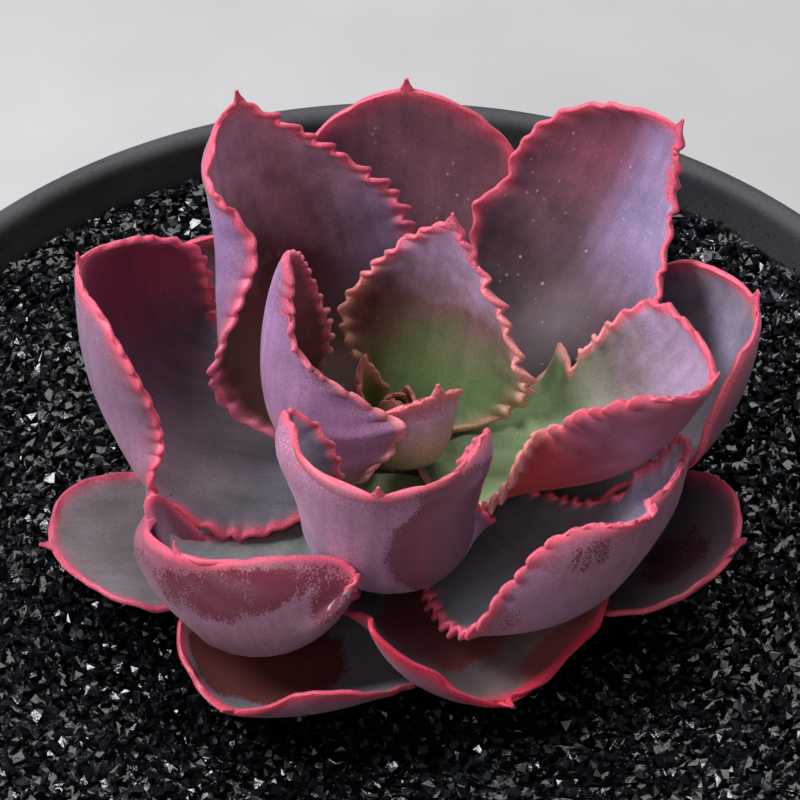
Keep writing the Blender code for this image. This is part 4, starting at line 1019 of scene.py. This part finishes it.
def makePot():
    d = potShape
    low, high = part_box("pot")
    rim, height = high.x / mm, high.z / mm
    wall, lipRise = d["wall"], d["lipRise"]
    floor = d["footHeight"] + d["floorThickness"]
    floorRadius = d["footRadius"] - wall
    reach = rim - wall - floorRadius
    inner = []
    for rise in np.linspace(*d["rises"], d["stations"]):
        radius = floorRadius + reach * math.sin(rise * math.pi / 2)**d["fullness"]
        inner.append((radius, floor + rise * (height - floor - lipRise)))
    out, down = d["outside"]
    outer = [(r + wall * out, z - wall * down) for r, z in inner if z > floor + d["outsideFrom"]]
    outer = [(r + d["ringDepth"] * (math.sin(z * 2 * math.pi / d["ringMm"]) - 1), z) for r, z in outer]
    lip = []
    for k in range(d["lipSteps"] + 1):
        angle = math.pi * k / d["lipSteps"]
        lip.append((rim - wall / 2 - wall / 2 * math.cos(angle),
                    height - lipRise + lipRise * math.sin(angle)))
    coveOut, coveUp = d["footCove"]
    outside, inside, edge = d["footRadius"], d["footRadius"] - d["footWidth"], d["footRound"]
    foot = [(outside + coveOut, d["footHeight"] + coveUp), (outside, d["footHeight"]), (outside, edge),
            (outside - edge, 0), (inside + edge, 0), (inside, edge), (inside, d["footHeight"])]
    drain = [(d["drainRadius"], d["footHeight"]), (d["drainRadius"], floor)]
    outline = drain + [(floorRadius, floor)] + inner + lip + outer[::-1] + foot
    points, faces = turned(outline, d["sides"])
    addPiece("stonewarePot", "pot", points, faces, makeStoneware())


# Moist potting compost: dark, crumbly and matt
compost = dict(grainMm=2.5, detail=6.0, tones=((0.35, "#1C140E"), (0.6, "#3A2B1F"), (0.75, "#5A4634")),
               roughness=0.92, bump=(0.9, 0.8))

# Corky bark of an old succulent stem: dull brown with rings of leaf scars
bark = dict(grainMm=1.4, detail=5.0, tones=((0.3, "#5A4632"), (0.55, "#7E6A50"), (0.75, "#8E8868")),
            roughness=0.8, bump=(0.7, 0.3))

stemShape = dict(gap=0.4, sides=48, rings=90, scarMm=1.9, scarDepth=0.12, rootTaper=0.55, rootDepth=26.35)


def makeSoil():
    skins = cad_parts["soil"].data.materials
    skins.clear()
    skins.append(makeMatt("pottingCompost", **compost))


def makeStem():
    d = stemShape
    low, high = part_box("stem")
    top, bottom = high.z / mm - rosette["height"], low.z / mm - rosette["height"]
    neck = bottom + d["rootDepth"]
    outline = [(0, top)]
    for z in np.linspace(top, bottom, d["rings"]):
        radius = baseRadius(z) - d["gap"]
        if z < neck:
            radius *= 1 - (1 - d["rootTaper"]) * (neck - z) / d["rootDepth"]
        outline.append((radius - d["scarDepth"] * (1 + math.sin(2 * math.pi * z / d["scarMm"])), z))
    points, faces = turned(outline + [(0, bottom)], d["sides"], closed=False)
    addPiece("corkyStem", "stem", points, faces, makeMatt("corkyBark", **bark), rosette["height"])


# Plain pale floor, soft studio light and the photograph's camera. Softboxes are in metres.
studio = dict(
    targetX=0.6, targetZ=24.0, distance=800.0, elevation=44.0, lens=171.0, sensor=36.0, near=0.01,
    softboxes=(dict(name="leftSoftbox", at=(-0.85, 0.05, 1.05), size=0.55, energy=17.5, tone="#F6F6FF"),
               dict(name="overheadSoftbox", at=(0.1, 0.5, 1.2), size=0.9, energy=8.5, tone="#FFFFFF"),
               dict(name="frontFill", at=(-0.5, -0.95, 0.75), size=1.0, energy=3.0, tone="#FFF2EA")),
    aim=(0, 0, 0.1), roomTone="#C9D4E4", roomStrength=0.2, exposure=-0.1, floorReach=4)

# A pale matt table top, almost even in tone
tableTop = dict(grainMm=60, detail=3.0, tones=((0.3, "#BDBBB8"), (0.7, "#C6C4C1")), roughness=0.8)


def addCamera():
    elevation, distance = math.radians(studio["elevation"]), studio["distance"]
    camera = bpy.data.cameras.new("photoCamera")
    camera.lens = studio["lens"]
    camera.sensor_width = studio["sensor"]
    camera.sensor_fit = "HORIZONTAL"
    camera.clip_start = studio["near"]
    view = bpy.data.objects.new("photoCamera", camera)
    view.location = (studio["targetX"] * mm, -distance * math.cos(elevation) * mm,
                     (rosette["height"] + studio["targetZ"] + distance * math.sin(elevation)) * mm)
    view.rotation_euler = (math.pi / 2 - elevation, 0, 0)
    bpy.context.scene.collection.objects.link(view)
    bpy.context.scene.camera = view


def addSoftbox(name, at, size, energy, tone):
    light = bpy.data.lights.new(name, "AREA")
    light.shape = "DISK"
    light.size = size
    light.energy = energy
    light.color = linearColour(tone)[:3]
    lamp = bpy.data.objects.new(name, light)
    lamp.location = at
    x, y, z = np.array(studio["aim"]) - np.array(at)
    lamp.rotation_euler = (math.atan2(math.hypot(x, y), -z), 0, math.atan2(y, x) - math.pi / 2)
    bpy.context.scene.collection.objects.link(lamp)


def makeStudio():
    addCamera()
    for softbox in studio["softboxes"]:
        addSoftbox(**softbox)
    bpy.context.scene.view_settings.view_transform = "Standard"
    bpy.context.scene.view_settings.exposure = studio["exposure"]
    world = bpy.data.worlds.new("softRoom")
    world.use_nodes = True
    world.node_tree.nodes.clear()
    room = addNode(world.node_tree, "Background", links={"Color": linearColour(studio["roomTone"]),
                                                         "Strength": studio["roomStrength"]})
    addNode(world.node_tree, "OutputWorld", links={"Surface": room})
    bpy.context.scene.world = world
    far = studio["floorReach"]
    mesh = bpy.data.meshes.new("paleFloor")
    mesh.from_pydata([(-far, -far, 0), (far, -far, 0), (far, far, 0), (-far, far, 0)], [], [(0, 1, 2, 3)])
    mesh.materials.append(makeMatt("paleTableTop", **tableTop))
    floor = bpy.data.objects.new("paleFloor", mesh)
    bpy.context.scene.collection.objects.link(floor)


makeStudio()
print("studio set")
makePot()
makeSoil()
makeStem()
print("pot, soil and stem dressed")
makeGravel()
makeHeart()
makeLeaves()
print("leaves dressed")
